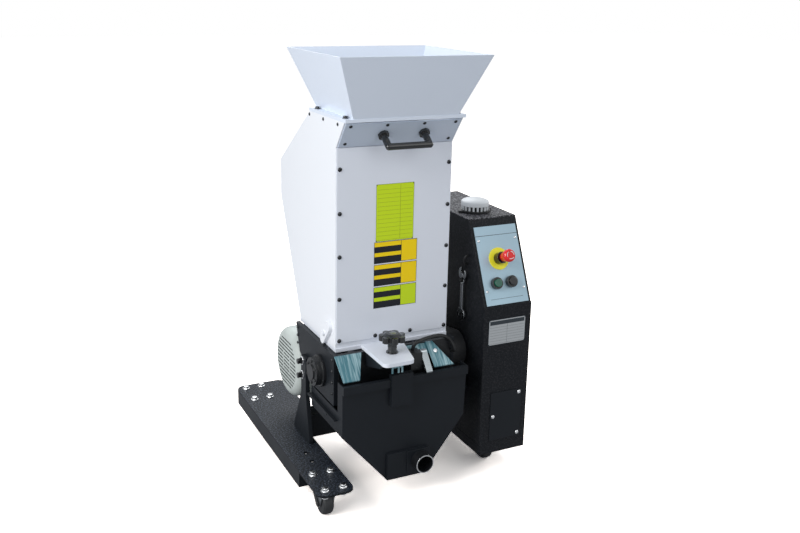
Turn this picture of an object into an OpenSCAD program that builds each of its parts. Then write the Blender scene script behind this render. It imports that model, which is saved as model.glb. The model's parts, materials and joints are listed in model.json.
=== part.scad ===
// Beside-the-press plastic granulator on casters. Millimetres.
// X runs to the machine's right, Y to its back, Z up, with the floor at Z = 0.
// The origin is the centre of the machine's footprint. Inside datum() the
// sizes start from the hopper's centre plane and the front cover's face.

/* [Hopper] */
// Width of the hopper's throat
hopper_w = 318; // [280:1:360]
// Depth of the throat at its base
throat_base_d = 254; // [230:1:280]
// Depth of the throat where it bulges to the rear
throat_bulge_d = 406; // [360:1:440]
// Depth of the throat at its top edge
throat_top_d = 176; // [160:1:200]
// Height of the throat's base above the floor
throat_base_z = 417; // [405:1:440]
// Height of the bulge's lower corner
bulge_low_z = 731; // [690:1:770]
// Height of the bulge's upper corner
bulge_high_z = 832; // [800:1:870]
// Height of the front cover's top edge
cover_top_z = 927; // [900:1:950]
// Height of the throat's top flange
throat_top_z = 995; // [980:1:1020]
// How far the sloped panel leans forward
panel_lean = 52; // [30:1:70]
// Sheet thickness of the hopper
hopper_t = 3; // [2:0.5:5]
// Height of the funnel above its flange
funnel_h = 147; // [120:1:200]
// How far the funnel flares on each side
funnel_flare = 58; // [40:1:80]
// Depth of the funnel where it meets its flange
funnel_d = 235; // [200:1:250]

/* [Cutting chamber] */
// Outer diameter of the claw rotor
rotor_d = 130; // [110:1:140]
// Diameter of the rotor's shaft in its bearings
shaft_d = 40; // [30:1:50]
// Number of claw cutters on the rotor
cutter_count = 7; // [5:1:7]
// Thickness of the chamber's side plates
side_plate_t = 12; // [10:1:16]
// Height of the rotor's axis
rotor_z = 335; // [330:1:340]
// Distance of the rotor's axis behind the front cover
rotor_y = 70; // [66:1:76]

/* [Drive] */
// Diameter of the motor's fan cowl
cowl_d = 200; // [170:1:210]
// Height of the motor's axis
motor_z = 259; // [250:1:270]
// Distance of the motor's axis behind the front cover
motor_y = 326; // [320:1:340]

/* [Bin] */
// Outer diameter of the granulate outlet
outlet_d = 50; // [40:1:60]
// Height of the bin's front rim
bin_rim_z = 347; // [340:1:355]
// Sheet thickness of the bin
bin_t = 3; // [2:0.5:4]

/* [Control box] */
// Width of the control box
box_w = 146; // [140:1:160]
// Depth of the control box
box_d = 420; // [380:1:460]
// Height of the control box's top
box_top_z = 707; // [680:1:750]
// Height where the front turns to the slope
box_knee_z = 490; // [470:1:510]
// How far the slope sets the top back
box_setback = 101; // [80:1:115]
// Diameter of the emergency stop's head
estop_d = 34; // [32:1:38]

/* [Base] */
// Length of the side beam
beam_l = 700; // [660:1:760]
// Width of the side beam
beam_w = 98; // [90:1:110]
// Thickness of the side beam's top plate
beam_plate_t = 6; // [4:1:8]
// Depth of the skirts that hide the casters
skirt_d = 48; // [40:1:52]
// Diameter of the caster wheels
wheel_d = 63; // [60:1:66]
// Overall height of a caster
caster_h = 94; // [92:1:100]

/* [Hidden] */
$fn = 48;
// Overrun that carries a cut clear past a face
over = 1;
// Free gap between pieces that move past each other
run_gap = 0.3;
// Radial clearance of a shaft in its bearing
shaft_gap = 0.05;

// Places of the main groups, from the datum
half_w = hopper_w / 2;
plate_gap = 1;
plate_x = half_w + plate_gap;
beam_reach = 99;
beam_left = -half_w - beam_reach;
beam_front = -140;
beam_top_z = caster_h + beam_plate_t;
box_reach = 80;
box_left = half_w + box_reach;
box_front = -60;
box_back = box_front + box_d;
box_right = box_left + box_w;
skirt_z = caster_h - skirt_d;
origin_x = -(beam_left + box_right) / 2;
origin_y = -(beam_front + beam_front + beam_l) / 2;

// Base flange of the hopper and its tab
flange_t = 10;
flange_z = throat_base_z - flange_t;
tab_left = -88;
tab_right = 19;
tab_tip_right = -6;
tab_l = 140;
tab_corner = 14;
mouth_x = 140;
mouth_front = 22;
mouth_back = 190;
knob_x = -37;
knob_y = -75;
stud_d = 12;
stud_hole_d = 16;
stud_gap = 0.8;
stud_reach = 10;

// Funnel and its flange
funnel_flange_t = 8;
funnel_z = throat_top_z + funnel_flange_t;
funnel_front = -58;
funnel_edge = 20;
funnel_lip = 1;
funnel_w = hopper_w - 2 * (funnel_edge - funnel_lip);

// Front cover, its screws and plates
cover_t = 3;
cover_gap = 2;
cover_low_z = throat_base_z + 13;
screw_d = 11;
screw_h = 3;
screw_rows = 5;
screw_edge = 10;
screw_x = half_w - screw_edge;
screw_low_gap = 20;
screw_high_gap = 52;
screw_low_z = throat_base_z + screw_low_gap;
screw_high_z = cover_top_z - screw_high_gap;
// Places of the funnel's flange bolts along its depth
FLANGE_BOLT_SHARES = [0.1, 0.86];

// Chamber
chamber_front = -20;
chamber_back = 226;
chamber_low_z = 272;
chamber_top_z = flange_z - run_gap;
wall_t = 12;
bearing_r = 37;
bearing_flange_r = 42;
bearing_flange_t = 8;
bearing_h = 18;
knife_w = 26;
knife_t = 14;
knife_gap = 1.5;
claw_count = 3;
cutter_gap = run_gap * 4;

// Bin
bin_left_reach = 11;
bin_right_reach = 21;
bin_left = -plate_x - bin_left_reach;
bin_right = plate_x + bin_right_reach;
bin_front = -75;
bin_back = 138;
bin_knee_z = 208;
bin_low_z = 67;
bin_wall_gap = 6;
bin_wall_top = chamber_low_z - bin_wall_gap;
bin_cut_y = -44;
bin_floor_back_z = 208;
rim_h = 22;
rim_t = 8;
outlet_x = 44;
outlet_z = 110;
outlet_l = 30;
outlet_t = 2.5;
outlet_box_left = -48;
outlet_box_right = 68;
outlet_box_top = 140;

// Caster sizes
caster_plate_t = 5;
caster_plate_w = 66;
caster_plate_l = 108;
caster_trail = 20;
fork_t = 3;
caster_inset = 66;
wheel_w = 28;
caster_beam_x = beam_left + beam_w / 2;
caster_box_x = (box_left + box_right) / 2;
CASTERS = [
    [caster_beam_x, beam_front + caster_inset],
    [caster_beam_x, beam_front + beam_l - caster_inset],
    [caster_box_x, box_front + box_w / 2],
    [caster_box_x, box_back - box_w / 2]
];

// Helpers

// Moves from the hopper's datum to the centre of the footprint
module datum() { translate([origin_x, origin_y, 0]) children(); }

// Box from its low corner to its high corner
module span(a, b) {
    translate(a) cube([b[0] - a[0], b[1] - a[1], b[2] - a[2]]);
}

// Extrudes an outline of Y and Z points along X
module along_x(x0, x1) {
    translate([x0, 0, 0]) rotate([90, 0, 90]) linear_extrude(x1 - x0) children();
}

// Extrudes an outline of X and Z points along Y, from y0 to y1
module along_y(y0, y1) {
    translate([0, y1, 0]) rotate([90, 0, 0]) linear_extrude(y1 - y0) children();
}

// Cylinder along X
module rod_x(r, x0, x1) {
    translate([x0, 0, 0]) rotate([0, 90, 0]) cylinder(h = x1 - x0, r = r);
}

// Cylinder along Y
module rod_y(r, y0, y1) {
    translate([0, y1, 0]) rotate([90, 0, 0]) cylinder(h = y1 - y0, r = r);
}

function unit(v) = v / norm(v);
function turned(v) = [-v[1], v[0]];

// Corner i of an outline moved inwards by d; points run anticlockwise
function inset_corner(p, i, d) =
    let (n = len(p), a = p[(i + n - 1) % n], b = p[i], c = p[(i + 1) % n])
    let (u = unit(b - a), v = unit(c - b), nu = turned(u), nv = turned(v))
    b + (nu + nv) * d / (1 + nu * nv);
function inset(p, d) = [for (i = [0 : len(p) - 1]) inset_corner(p, i, d)];

// Outline with every corner rounded to radius r in a few flats
round_steps = 6;
function round_corner(p, i, r) =
    let (n = len(p), a = p[(i + n - 1) % n], b = p[i], c = p[(i + 1) % n])
    let (u = unit(a - b), v = unit(c - b), half = acos(u * v) / 2)
    let (s = r / tan(half), m = b + unit(u + v) * r / sin(half))
    let (from = b + u * s - m, to = b + v * s - m, sweep = 180 - 2 * half)
    let (side = from[0] * to[1] - from[1] * to[0] > 0 ? 1 : -1)
    [for (k = [0 : round_steps])
        let (g = side * sweep * k / round_steps)
        m + [from[0] * cos(g) - from[1] * sin(g), from[0] * sin(g) + from[1] * cos(g)]];
function rounded(p, r) = [for (i = [0 : len(p) - 1]) each round_corner(p, i, r)];

function rect(x0, y0, x1, y1) = [[x0, y0], [x1, y0], [x1, y1], [x0, y1]];

// Base frame

beam_t = 4;
bolt_d = 17;
bolt_h = 9;
bolt_pitch_x = 48;
bolt_pitch_y = 84;
accessory_d = 13;
channel_gap = 86;
channel_front = CASTERS[0][1] + channel_gap;
beam_back = beam_front + beam_l;
beam_foot_w = 150;

// Side flanges of the channel with the plate that closes its front end
module side_beam() {
    low = [beam_left + beam_t, channel_front, skirt_z];
    high = [beam_left + beam_w - beam_t, beam_back - beam_t, caster_h];
    color("#23262a") datum() {
        span(low, [low[0] + beam_t, high[1], high[2]]);
        span([high[0] - beam_t, low[1], low[2]], high);
        span([low[0] + beam_t + run_gap, low[1], low[2]],
             [high[0] - beam_t - run_gap, low[1] + beam_t, high[2]]);
    }
}

// Top plate, wider at the back where it carries the upright's foot and runs under the motor
module beam_plate() {
    corner = 24;
    color("#2a2d31") datum() difference() {
        translate([0, 0, caster_h]) linear_extrude(beam_plate_t) polygon(rounded([
            [beam_left, beam_front], [beam_left + beam_w, beam_front],
            [beam_left + beam_w, upright_foot_back], [beam_left + beam_foot_w, upright_foot_back + beam_foot_w / 2],
            [beam_left + beam_foot_w, beam_back], [beam_left, beam_back]], corner));
        accessory_holes();
    }
}

// Two holes through the beam's top for accessories
module accessory_holes() {
    for (y = [beam_front + beam_l / 4, beam_front + beam_l / 4 + bolt_pitch_x])
        translate([beam_left + beam_w / 2, y, skirt_z]) cylinder(h = beam_top_z, d = accessory_d);
}

// Hexagon bolt head with its washer and a chamfered top, standing on z = 0
module hex_head(d, h) {
    washer_h = h / 4;
    crown_h = h / 5;
    cylinder(h = washer_h, d = d * 1.3);
    translate([0, 0, washer_h]) cylinder(h = h - washer_h - crown_h, d = d, $fn = 6);
    translate([0, 0, h - crown_h]) cylinder(h = crown_h, d1 = d * 0.86, d2 = d * 0.66);
}

// Four of the children at a caster's bolt holes
module at_plate_bolts() {
    for (x = [-1, 1], y = [-1, 1])
        translate([x * bolt_pitch_x / 2, y * bolt_pitch_y / 2, 0]) children();
}

hatch_left = box_left + 30;
hatch_w = 98;
hatch_low_z = 103;
hatch_h = 139;
hatch_t = 2;
hatch_edge = 9;
nut_h = 8;

module frame_bolts() {
    color("#c3c7c9") datum() {
        for (i = [0, 1]) translate([CASTERS[i][0], CASTERS[i][1], 0]) at_plate_bolts() {
            translate([0, 0, beam_top_z]) hex_head(bolt_d, bolt_h);
            translate([0, 0, caster_h - caster_plate_t - nut_h]) cylinder(h = nut_h, d = bolt_d, $fn = 6);
        }
        for (x = [hatch_edge, hatch_w - hatch_edge], z = [hatch_edge, hatch_h - hatch_edge])
            translate([hatch_left + x, box_front - hatch_t, hatch_low_z + z])
                rod_y(screw_d / 2, -screw_h, 0);
    }
}

cross_front = 158;
cross_d = 55;
cross_h = 66;
cross_t = 4;

module cross_member() {
    color("#1d2024") datum() difference() {
        span([-plate_x - side_plate_t, cross_front, beam_top_z],
             [box_left, cross_front + cross_d, beam_top_z + cross_h]);
        span([-plate_x - side_plate_t - over, cross_front + cross_t, beam_top_z + cross_t],
             [box_left + over, cross_front + cross_d - cross_t, beam_top_z + cross_h - cross_t]);
    }
}

upright_t = 12;
upright_x = -plate_x - side_plate_t - upright_t;
upright_front = 148;
upright_w = 36;
upright_foot_front = 123;
upright_foot_back = 241;
upright_waist_z = 230;
upright_top_z = 338;

module upright() {
    foot_h = 14;
    color("#26292d") datum() along_x(upright_x, upright_x + upright_t) polygon([
        [upright_foot_front, beam_top_z],
        [upright_foot_back, beam_top_z],
        [upright_foot_back, beam_top_z + foot_h],
        [upright_front + upright_w, upright_waist_z],
        [upright_front + upright_w, upright_top_z],
        [upright_front, upright_top_z],
        [upright_front, upright_waist_z],
        [upright_foot_front, beam_top_z + foot_h]
    ]);
    // Its twin stands on the cross-member and carries the right side plate
    color("#26292d") datum()
        span([-upright_x - upright_t, cross_front + cross_t, beam_top_z + cross_h],
             [-upright_x, cross_front + cross_t + upright_w, upright_top_z]);
}

// Cutting chamber

plate_back_z = 330;
chamber_exit_y = 128;
back_slope = atan2(plate_back_z - chamber_low_z, chamber_back - chamber_exit_y);
back_wall_y = chamber_back - wall_t;
back_wall_z = plate_back_z + wall_t * tan(45 - back_slope / 2);

module chamber_side_outline() {
    polygon([
        [chamber_front, chamber_low_z],
        [chamber_exit_y, chamber_low_z],
        [chamber_back, plate_back_z],
        [throat_base_d, chamber_top_z],
        [chamber_front, chamber_top_z]
    ]);
}

module chamber_sides() {
    color("#202327") datum() for (s = [-1, 1]) difference() {
        along_x(s > 0 ? plate_x : -plate_x - side_plate_t, s > 0 ? plate_x + side_plate_t : -plate_x)
            chamber_side_outline();
        translate([0, rotor_y, rotor_z]) rod_x(shaft_d / 2 + over, -half_w * 2, half_w * 2);
    }
}

module chamber_walls() {
    color("#2b2e32") datum() {
        span([-plate_x, chamber_front, chamber_low_z], [plate_x, chamber_front + wall_t, chamber_top_z]);
        along_x(-plate_x, plate_x) polygon([
            [chamber_exit_y, chamber_low_z],
            [chamber_back, plate_back_z],
            [chamber_back, chamber_top_z],
            [back_wall_y, chamber_top_z],
            [back_wall_y, back_wall_z],
            [chamber_exit_y - wall_t / sin(back_slope), chamber_low_z]
        ]);
    }
}

chute_t = 3;
chute_top_z = chamber_top_z;
chute_low_gap = 4;
chute_low_z = bin_rim_z + chute_low_gap;
chute_low_y = bin_front + 2 * chute_low_gap;
// Left and right edge of each plate, at its top and then at the bin's rim
CHUTES = [[-171, -98, -165, -121], [84, 104, 89, 148]];

module chute_plates() {
    color("#a9b7b8") datum() for (c = CHUTES) intersection() {
        along_x(-half_w * 2, half_w * 2) polygon([
            [chamber_front, chute_top_z - chute_t],
            [chamber_front, chute_top_z],
            [chamber_front - chute_t, chute_top_z],
            [chute_low_y, chute_low_z + chute_t],
            [chute_low_y, chute_low_z]
        ]);
        along_y(bin_front, chamber_front) polygon([
            [c[2], chute_low_z], [c[3], chute_low_z], [c[1], chute_top_z], [c[0], chute_top_z]]);
    }
}

bracket_left = -86;
bracket_right = -2;
bracket_front = -112;
bracket_t = 4;
bracket_low_z = bin_rim_z + 20;

module lock_bracket() {
    boss_d = 30;
    top = flange_z - run_gap;
    color("#1b1e21") datum() difference() {
        union() {
            along_x(bracket_left, bracket_right) polygon([
                [chamber_front, bracket_low_z],
                [chamber_front, top],
                [bracket_front, top],
                [bracket_front, top - 3 * bracket_t]
            ]);
        }
        along_x(bracket_left + bracket_t, bracket_right - bracket_t) polygon([
            [chamber_front + over, bracket_low_z - over],
            [chamber_front + over, top - 2 * bracket_t],
            [bracket_front - over, top - 2 * bracket_t],
            [bracket_front - over, top - 4 * bracket_t]
        ]);
        translate([knob_x, knob_y, top - boss_d]) cylinder(h = boss_d + over, d = stud_d + 2 * stud_gap);
    }
}

switch_left = 24;
switch_w = 32;
switch_front = -62;
switch_h = 46;
switch_low_z = bin_rim_z + 4;

lever_y = -45;
lever_lift = 44;
lever_z = bin_rim_z + lever_lift;
lever_pin_r = 4;
lever_w = 18;

module interlock_switch() {
    stem_d = 14;
    color("#17191c") datum() {
        difference() {
            span([switch_left, switch_front, switch_low_z],
                 [switch_left + switch_w, chamber_front, switch_low_z + switch_h]);
            translate([switch_left + switch_w / 2, 0, switch_low_z + switch_h / 4])
                rod_y(stem_d / 3, switch_front - over, switch_front + over);
        }
        translate([switch_left + switch_w, lever_y, lever_z]) rod_x(lever_pin_r, 0, lever_w + over);
    }
}

// Route of the interlock's cable, from the switch up over the flange to the side plate
CABLE = [
    [40, -38, 397], [40, -38, 405], [43, -40, 413], [51, -42, 419], [64, -42, 423],
    [80, -40, 425], [98, -38, 426], [116, -36, 425], [132, -34, 421], [146, -32, 413],
    [156, -32, 402], [162, -35, 390], [165, -36, 379], [166, -32, 372], [166, -26, 371],
    [166, -20, 371]
];
cable_d = 10;
cable_sides = 8;

function ring(p, t, r) =
    let (u = unit(cross(t, [0.01, 1, 0.02])), v = cross(t, u))
    [for (k = [0 : cable_sides - 1])
        let (g = 360 * k / cable_sides) p + r * (u * cos(g) + v * sin(g))];
function tangent(q, i) = unit(q[min(i + 1, len(q) - 1)] - q[max(i - 1, 0)]);
function tube_points(q, r) = [for (i = [0 : len(q) - 1]) each ring(q[i], tangent(q, i), r)];
function tube_faces(n, m) = concat(
    [[for (k = [0 : m - 1]) k]],
    [for (i = [0 : n - 2], k = [0 : m - 1])
        [i * m + k, (i + 1) * m + k, (i + 1) * m + (k + 1) % m]],
    [for (i = [0 : n - 2], k = [0 : m - 1])
        [i * m + k, (i + 1) * m + (k + 1) % m, i * m + (k + 1) % m]],
    [[for (k = [m - 1 : -1 : 0]) (n - 1) * m + k]]
);

module switch_cable() {
    color("#101214") datum()
        polyhedron(tube_points(CABLE, cable_d / 2), tube_faces(len(CABLE), cable_sides));
}

housing_x = plate_x + side_plate_t;

module bearing_housings() {
    color("#2f3337") datum() for (s = [0, 1]) mirror([s, 0, 0])
        translate([0, rotor_y, rotor_z]) difference() {
            union() {
                rod_x(bearing_flange_r, housing_x, housing_x + bearing_flange_t);
                rod_x(bearing_r, housing_x, housing_x + bearing_h);
            }
            rod_x(shaft_d / 2 + shaft_gap, housing_x - over, housing_x + bearing_h + over);
        }
}

cap_bolts = 6;

module end_cap() {
    cap_t = 7;
    cap_x = -housing_x - bearing_h;
    color("#1c1f22") datum() translate([0, rotor_y, rotor_z]) {
        rod_x(bearing_r, cap_x - cap_t, cap_x);
        rod_x(bearing_r * 0.55, cap_x - cap_t * 1.5, cap_x);
        for (k = [0 : cap_bolts - 1]) rotate([360 * k / cap_bolts, 0, 0])
            translate([0, 0, bearing_r * 0.78]) rod_x(bearing_r / 9, cap_x - cap_t * 1.4, cap_x);
    }
}

// Rotor

rotor_r = rotor_d / 2;
shaft_end_left = housing_x + bearing_h - 1;
hex_r = 27;
cutter_pitch = 2 * half_w / cutter_count;
cutter_w = cutter_pitch * 0.34;
cutter_share = 0.62;

function cutter_x(i) = -half_w + cutter_pitch * (i + 0.5);

module rotor_shaft() {
    color("#8d9296") datum() translate([0, rotor_y, rotor_z]) {
        rod_x(shaft_d / 2, -shaft_end_left, gear_right - 8);
        rotate([0, 90, 0]) translate([0, 0, -half_w + over])
            cylinder(h = 2 * half_w - 2 * over, r = hex_r, $fn = 6);
    }
}

// One claw cutter: a hub with hooked teeth, in the plane of its disc
module claw_outline() {
    root_r = rotor_r * cutter_share;
    difference() {
        union() {
            circle(r = root_r);
            for (k = [0 : claw_count - 1]) rotate(360 * k / claw_count) polygon([
                [0, 0],
                [root_r, 0],
                [rotor_r * 0.985, root_r * 0.12],
                [rotor_r * 0.93, root_r * 0.5],
                [rotor_r * 0.72, root_r * 0.78],
                [root_r * 0.4, root_r * 0.9]
            ]);
        }
        circle(r = hex_r, $fn = 6);
    }
}

module rotor_cutters() {
    stagger = 360 / claw_count / cutter_count;
    color("#b4b9bc") datum() translate([0, rotor_y, rotor_z])
        for (i = [0 : cutter_count - 1]) translate([cutter_x(i) - cutter_w / 2, 0, 0])
            rotate([0, 90, 0]) linear_extrude(cutter_w)
                rotate(stagger * i) claw_outline_keyed(stagger * i);
}

// Claw outline whose hexagon bore stays lined up with the shaft
module claw_outline_keyed(turn) {
    difference() {
        union() {
            circle(r = rotor_r * cutter_share);
            claw_outline();
        }
        rotate(-turn) circle(r = hex_r, $fn = 6);
    }
}

module fixed_knives() {
    color("#c2c7ca") datum() {
        along_x(-half_w + over, half_w - over) polygon([
            [chamber_front + wall_t, rotor_z],
            [rotor_y - rotor_r - knife_gap, rotor_z],
            [chamber_front + wall_t + knife_gap, rotor_z + knife_t],
            [chamber_front + wall_t, rotor_z + knife_t]
        ]);
        along_x(-half_w + over, half_w - over) polygon([
            [rotor_y + rotor_r + knife_gap, rotor_z],
            [rotor_y + rotor_r + knife_w, rotor_z],
            [rotor_y + rotor_r + knife_w, rotor_z + knife_t],
            [rotor_y + rotor_r + 4 * knife_gap, rotor_z + knife_t]
        ]);
    }
}

// Depth of the sloped back wall's inner face at height z
function rear_inner_y(z) =
    chamber_exit_y - wall_t / sin(back_slope) + (z - chamber_low_z) / tan(back_slope);

// Comb teeth that stand between the cutters, on a bar at the back
module comb_bars() {
    tooth_w = cutter_pitch - cutter_w - 2 * cutter_gap;
    tooth_y = rotor_y + hex_r + 4;
    bar_y = rotor_y + rotor_r + knife_gap;
    bar_low_z = rotor_z - 2 * knife_t;
    color("#9da3a7") datum() {
        along_x(-half_w + over, half_w - over) polygon([
            [bar_y, bar_low_z],
            [rear_inner_y(bar_low_z), bar_low_z],
            [rear_inner_y(rotor_z), rotor_z],
            [bar_y, rotor_z]
        ]);
        for (i = [0 : cutter_count - 2])
            span([cutter_x(i) + cutter_w / 2 + cutter_gap, tooth_y, bar_low_z],
                 [cutter_x(i) + cutter_w / 2 + cutter_gap + tooth_w, bar_y, rotor_z - knife_gap]);
    }
}

// Drive

gear_left = housing_x + bearing_h + 2;
gear_right = box_left - 4;
gear_r_rotor = 50;
gear_r_motor = 84;

module gearbox() {
    ring_h = 2;
    color("#1f2224") datum() difference() {
        union() {
            along_x(gear_left, gear_right) hull() {
                translate([rotor_y, rotor_z]) circle(r = gear_r_rotor);
                translate([motor_y, motor_z]) circle(r = gear_r_motor);
            }
            translate([0, rotor_y, rotor_z]) rod_x(bearing_r, gear_left - ring_h, gear_left);
        }
        translate([0, rotor_y, rotor_z])
            rod_x(shaft_d / 2 + shaft_gap, gear_left - ring_h - over, gear_right - 6);
    }
}

cowl_r = cowl_d / 2;
cowl_left = -176;
cowl_l = 74;
cowl_t = 2;
cowl_seat = 6;
body_r = cowl_r - 12;
fin_count = 28;
fin_t = 3;

module motor_body() {
    fin_h = 7;
    end_t = 12;
    core_r = body_r - fin_h;
    color("#aab4ad") datum() translate([0, motor_y, motor_z]) difference() {
        union() {
            rod_x(core_r, cowl_left + cowl_l - cowl_seat, gear_left);
            rod_x(body_r, gear_left - end_t, gear_left);
            rod_x(body_r, cowl_left + cowl_l, cowl_left + cowl_l + end_t);
            rod_x(cowl_r - cowl_t - run_gap, cowl_left + cowl_l - cowl_seat, cowl_left + cowl_l + cowl_seat);
            for (k = [0 : fin_count - 1]) rotate([360 * k / fin_count, 0, 0])
                span([cowl_left + cowl_l, -fin_t / 2, core_r - 2],
                     [gear_left - end_t / 2, fin_t / 2, body_r - over]);
        }
        rod_x(8 + shaft_gap, cowl_left, cowl_left + cowl_l + 20);
    }
}

slot_rows = 13;
cowl_dome = 24;
// Slots in the middle rows are split in three by the ribs at these shares of their width
slot_rib_share = 0.36;

// Outer form of the cowl: a drum whose end turns in on a quarter round
module cowl_form(r, dome, l) {
    rotate([0, 90, 0]) rotate_extrude() polygon(concat(
        [[0, 0]],
        [for (k = [0 : round_steps])
            [r - dome + dome * sin(90 * k / round_steps), dome - dome * cos(90 * k / round_steps)]],
        [[r, l], [0, l]]));
}

module fan_cowl() {
    end_r = cowl_r - cowl_dome;
    pitch = 2 * end_r / (slot_rows + 1);
    color("#cdd4d0") datum() translate([cowl_left, motor_y, motor_z]) difference() {
        cowl_form(cowl_r, cowl_dome, cowl_l);
        translate([cowl_t, 0, 0]) cowl_form(cowl_r - cowl_t, cowl_dome - cowl_t, cowl_l);
        for (i = [0 : slot_rows - 1]) let (z = (i - (slot_rows - 1) / 2) * pitch)
            let (half = sqrt(end_r * end_r - z * z), rib = half * slot_rib_share)
                if (abs(z) < 3 * pitch)
                    for (e = [[-half, -rib - cowl_t], [-rib + cowl_t, rib - cowl_t], [rib + cowl_t, half]])
                        span([-over, e[0], z - pitch / 4], [cowl_t + over, e[1], z + pitch / 4]);
                else
                    span([-over, -half, z - pitch / 4], [cowl_t + over, half, z + pitch / 4]);
    }
}

blade_count = 7;

module cooling_fan() {
    hub_r = 18;
    color("#33373a") datum() translate([0, motor_y, motor_z]) {
        rod_x(8, cowl_left + 24, cowl_left + cowl_l + 18);
        rod_x(hub_r, cowl_left + 26, cowl_left + cowl_l - 12);
        rod_x(cowl_r - 34, cowl_left + cowl_l - 16, cowl_left + cowl_l - 12);
        for (k = [0 : blade_count - 1]) rotate([360 * k / blade_count, 0, 0])
            span([cowl_left + 28, -1.5, hub_r - 2], [cowl_left + cowl_l - 14, 1.5, cowl_r - 26]);
    }
}

// Hopper hinge at the rear, seen from the side

hinge_y = throat_base_d + 14;
hinge_z = flange_z - 12;
hinge_pin_r = 6;
hinge_x = 110;
hinge_w = 34;

module hinge_brackets() {
    lug_r = 13;
    color("#202327") datum() for (s = [-1, 1]) difference() {
        along_x(s * hinge_x - hinge_w / 2, s * hinge_x + hinge_w / 2) union() {
            translate([hinge_y, hinge_z]) circle(r = lug_r);
            polygon([
                [chamber_back, hinge_z - lug_r * 2.4],
                [hinge_y + lug_r * 0.7, hinge_z - lug_r * 0.7],
                [hinge_y - lug_r * 0.7, hinge_z + lug_r * 0.7],
                [chamber_back, hinge_z - lug_r * 0.4]
            ]);
        }
        along_x(s * hinge_x - hinge_w / 6 - run_gap, s * hinge_x + hinge_w / 6 + run_gap) union() {
            translate([hinge_y, hinge_z]) circle(r = lug_r + over);
            translate([hinge_y - 2 * lug_r, hinge_z - lug_r * 0.4]) square([4 * lug_r, 3 * lug_r]);
        }
        translate([0, hinge_y, hinge_z]) rod_x(hinge_pin_r + shaft_gap, -half_w, half_w);
    }
    color("#b9bec1") datum() for (s = [-1, 1]) translate([s * hinge_x, hinge_y, hinge_z])
        rod_x(hinge_pin_r, -hinge_w / 2 - hinge_pin_r / 2, hinge_w / 2 + hinge_pin_r / 2);
}

// Granulate bin and its rails

runner_z = 242;
runner_t = 3;
runner_w = 10;
rail_gap = run_gap;
rail_l = 140;
rail_back_right = 118;

function bin_front_outline() = [
    [bin_left, bin_knee_z], [outlet_box_left, bin_low_z], [outlet_box_right, bin_low_z], [126, 193],
    [bin_right - 5, bin_knee_z], [bin_right, bin_rim_z], [bin_left, bin_rim_z]
];
function bin_back_outline() = [
    [bin_left, bin_floor_back_z], [bin_right, bin_floor_back_z],
    [bin_right, bin_rim_z], [bin_left, bin_rim_z]
];

module bin_body(d) {
    slab = 1;
    hull() {
        along_y(bin_front + d, bin_front + d + slab) polygon(inset(bin_front_outline(), d));
        along_y(bin_back - d - slab, bin_back - d) polygon(inset(bin_back_outline(), d));
    }
}

pocket_left = -42;
pocket_right = 17;
pocket_low_z = 274;
pocket_top_z = bin_rim_z + 13;
pocket_d = 14;

module bin_shell() {
    color("#26292d") datum() {
        difference() {
            union() {
                bin_body(0);
                // Rolled rim along the front
                span([bin_left, bin_front - rim_t, bin_rim_z - rim_h],
                     [bin_right, bin_front, bin_rim_z]);
                // Raised grip pocket in the middle of the front
                span([pocket_left, bin_front - pocket_d, pocket_low_z],
                     [pocket_right, bin_front + bin_t, pocket_top_z]);
                // Box round the outlet
                span([outlet_box_left, bin_front - rim_t, bin_low_z],
                     [outlet_box_right, bin_front + rim_t, outlet_box_top]);
                // Runners that ride on the rails
                for (x = [bin_left - runner_w, bin_right - over])
                    span([x, bin_cut_y, runner_z],
                         [x + runner_w + over, bin_back, runner_z + runner_t]);
            }
            difference() {
                bin_body(bin_t);
                span([bin_left, bin_front - rim_t, bin_rim_z - bin_t],
                     [bin_right, bin_back, bin_rim_z + rim_h]);
            }
            span([bin_left + bin_t, bin_front + bin_t, bin_rim_z - 2 * bin_t],
                 [bin_right - bin_t, bin_back - bin_t, bin_rim_z + over]);
            // Walls behind the front drop below the chamber
            span([bin_left - runner_w - over, bin_cut_y, bin_wall_top],
                 [bin_right + runner_w + over, bin_back + over, bin_rim_z + over]);
            translate([outlet_x, bin_front - rim_t, outlet_z])
                rod_y(outlet_d / 2 - outlet_t, -rim_t, 40);
        }
    }
}

module outlet_plate() {
    t = 3;
    margin = 4;
    color("#9aa1a4") datum() difference() {
        span([outlet_x - outlet_d / 2 - 3 * margin, bin_front - rim_t - t, outlet_z - outlet_d / 2 - margin],
             [outlet_x + outlet_d / 2 + margin, bin_front - rim_t, outlet_z + outlet_d / 2 + margin]);
        translate([outlet_x, bin_front - rim_t - t, outlet_z])
            rod_y(outlet_d / 2 - outlet_t, -over, t + over);
    }
}

module outlet_pipe() {
    t = 3;
    color("#8f979b") datum() translate([outlet_x, bin_front - rim_t - t, outlet_z]) difference() {
        rod_y(outlet_d / 2, -outlet_l, 0);
        rod_y(outlet_d / 2 - outlet_t, -outlet_l - over, over);
    }
}

module bin_rails() {
    rail_t = 5;
    top = runner_z - rail_gap;
    color("#1f2226") datum() {
        span([bin_left - runner_w, upright_front - rail_l, top - rail_t],
             [bin_left - rail_gap * 3, upright_front, top]);
        span([bin_right + rail_gap * 3, upright_front - rail_l, top - rail_t],
             [box_left, rail_back_right, top]);
    }
}

lever_reach_y = 38;
lever_tip_gap = 1;

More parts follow.
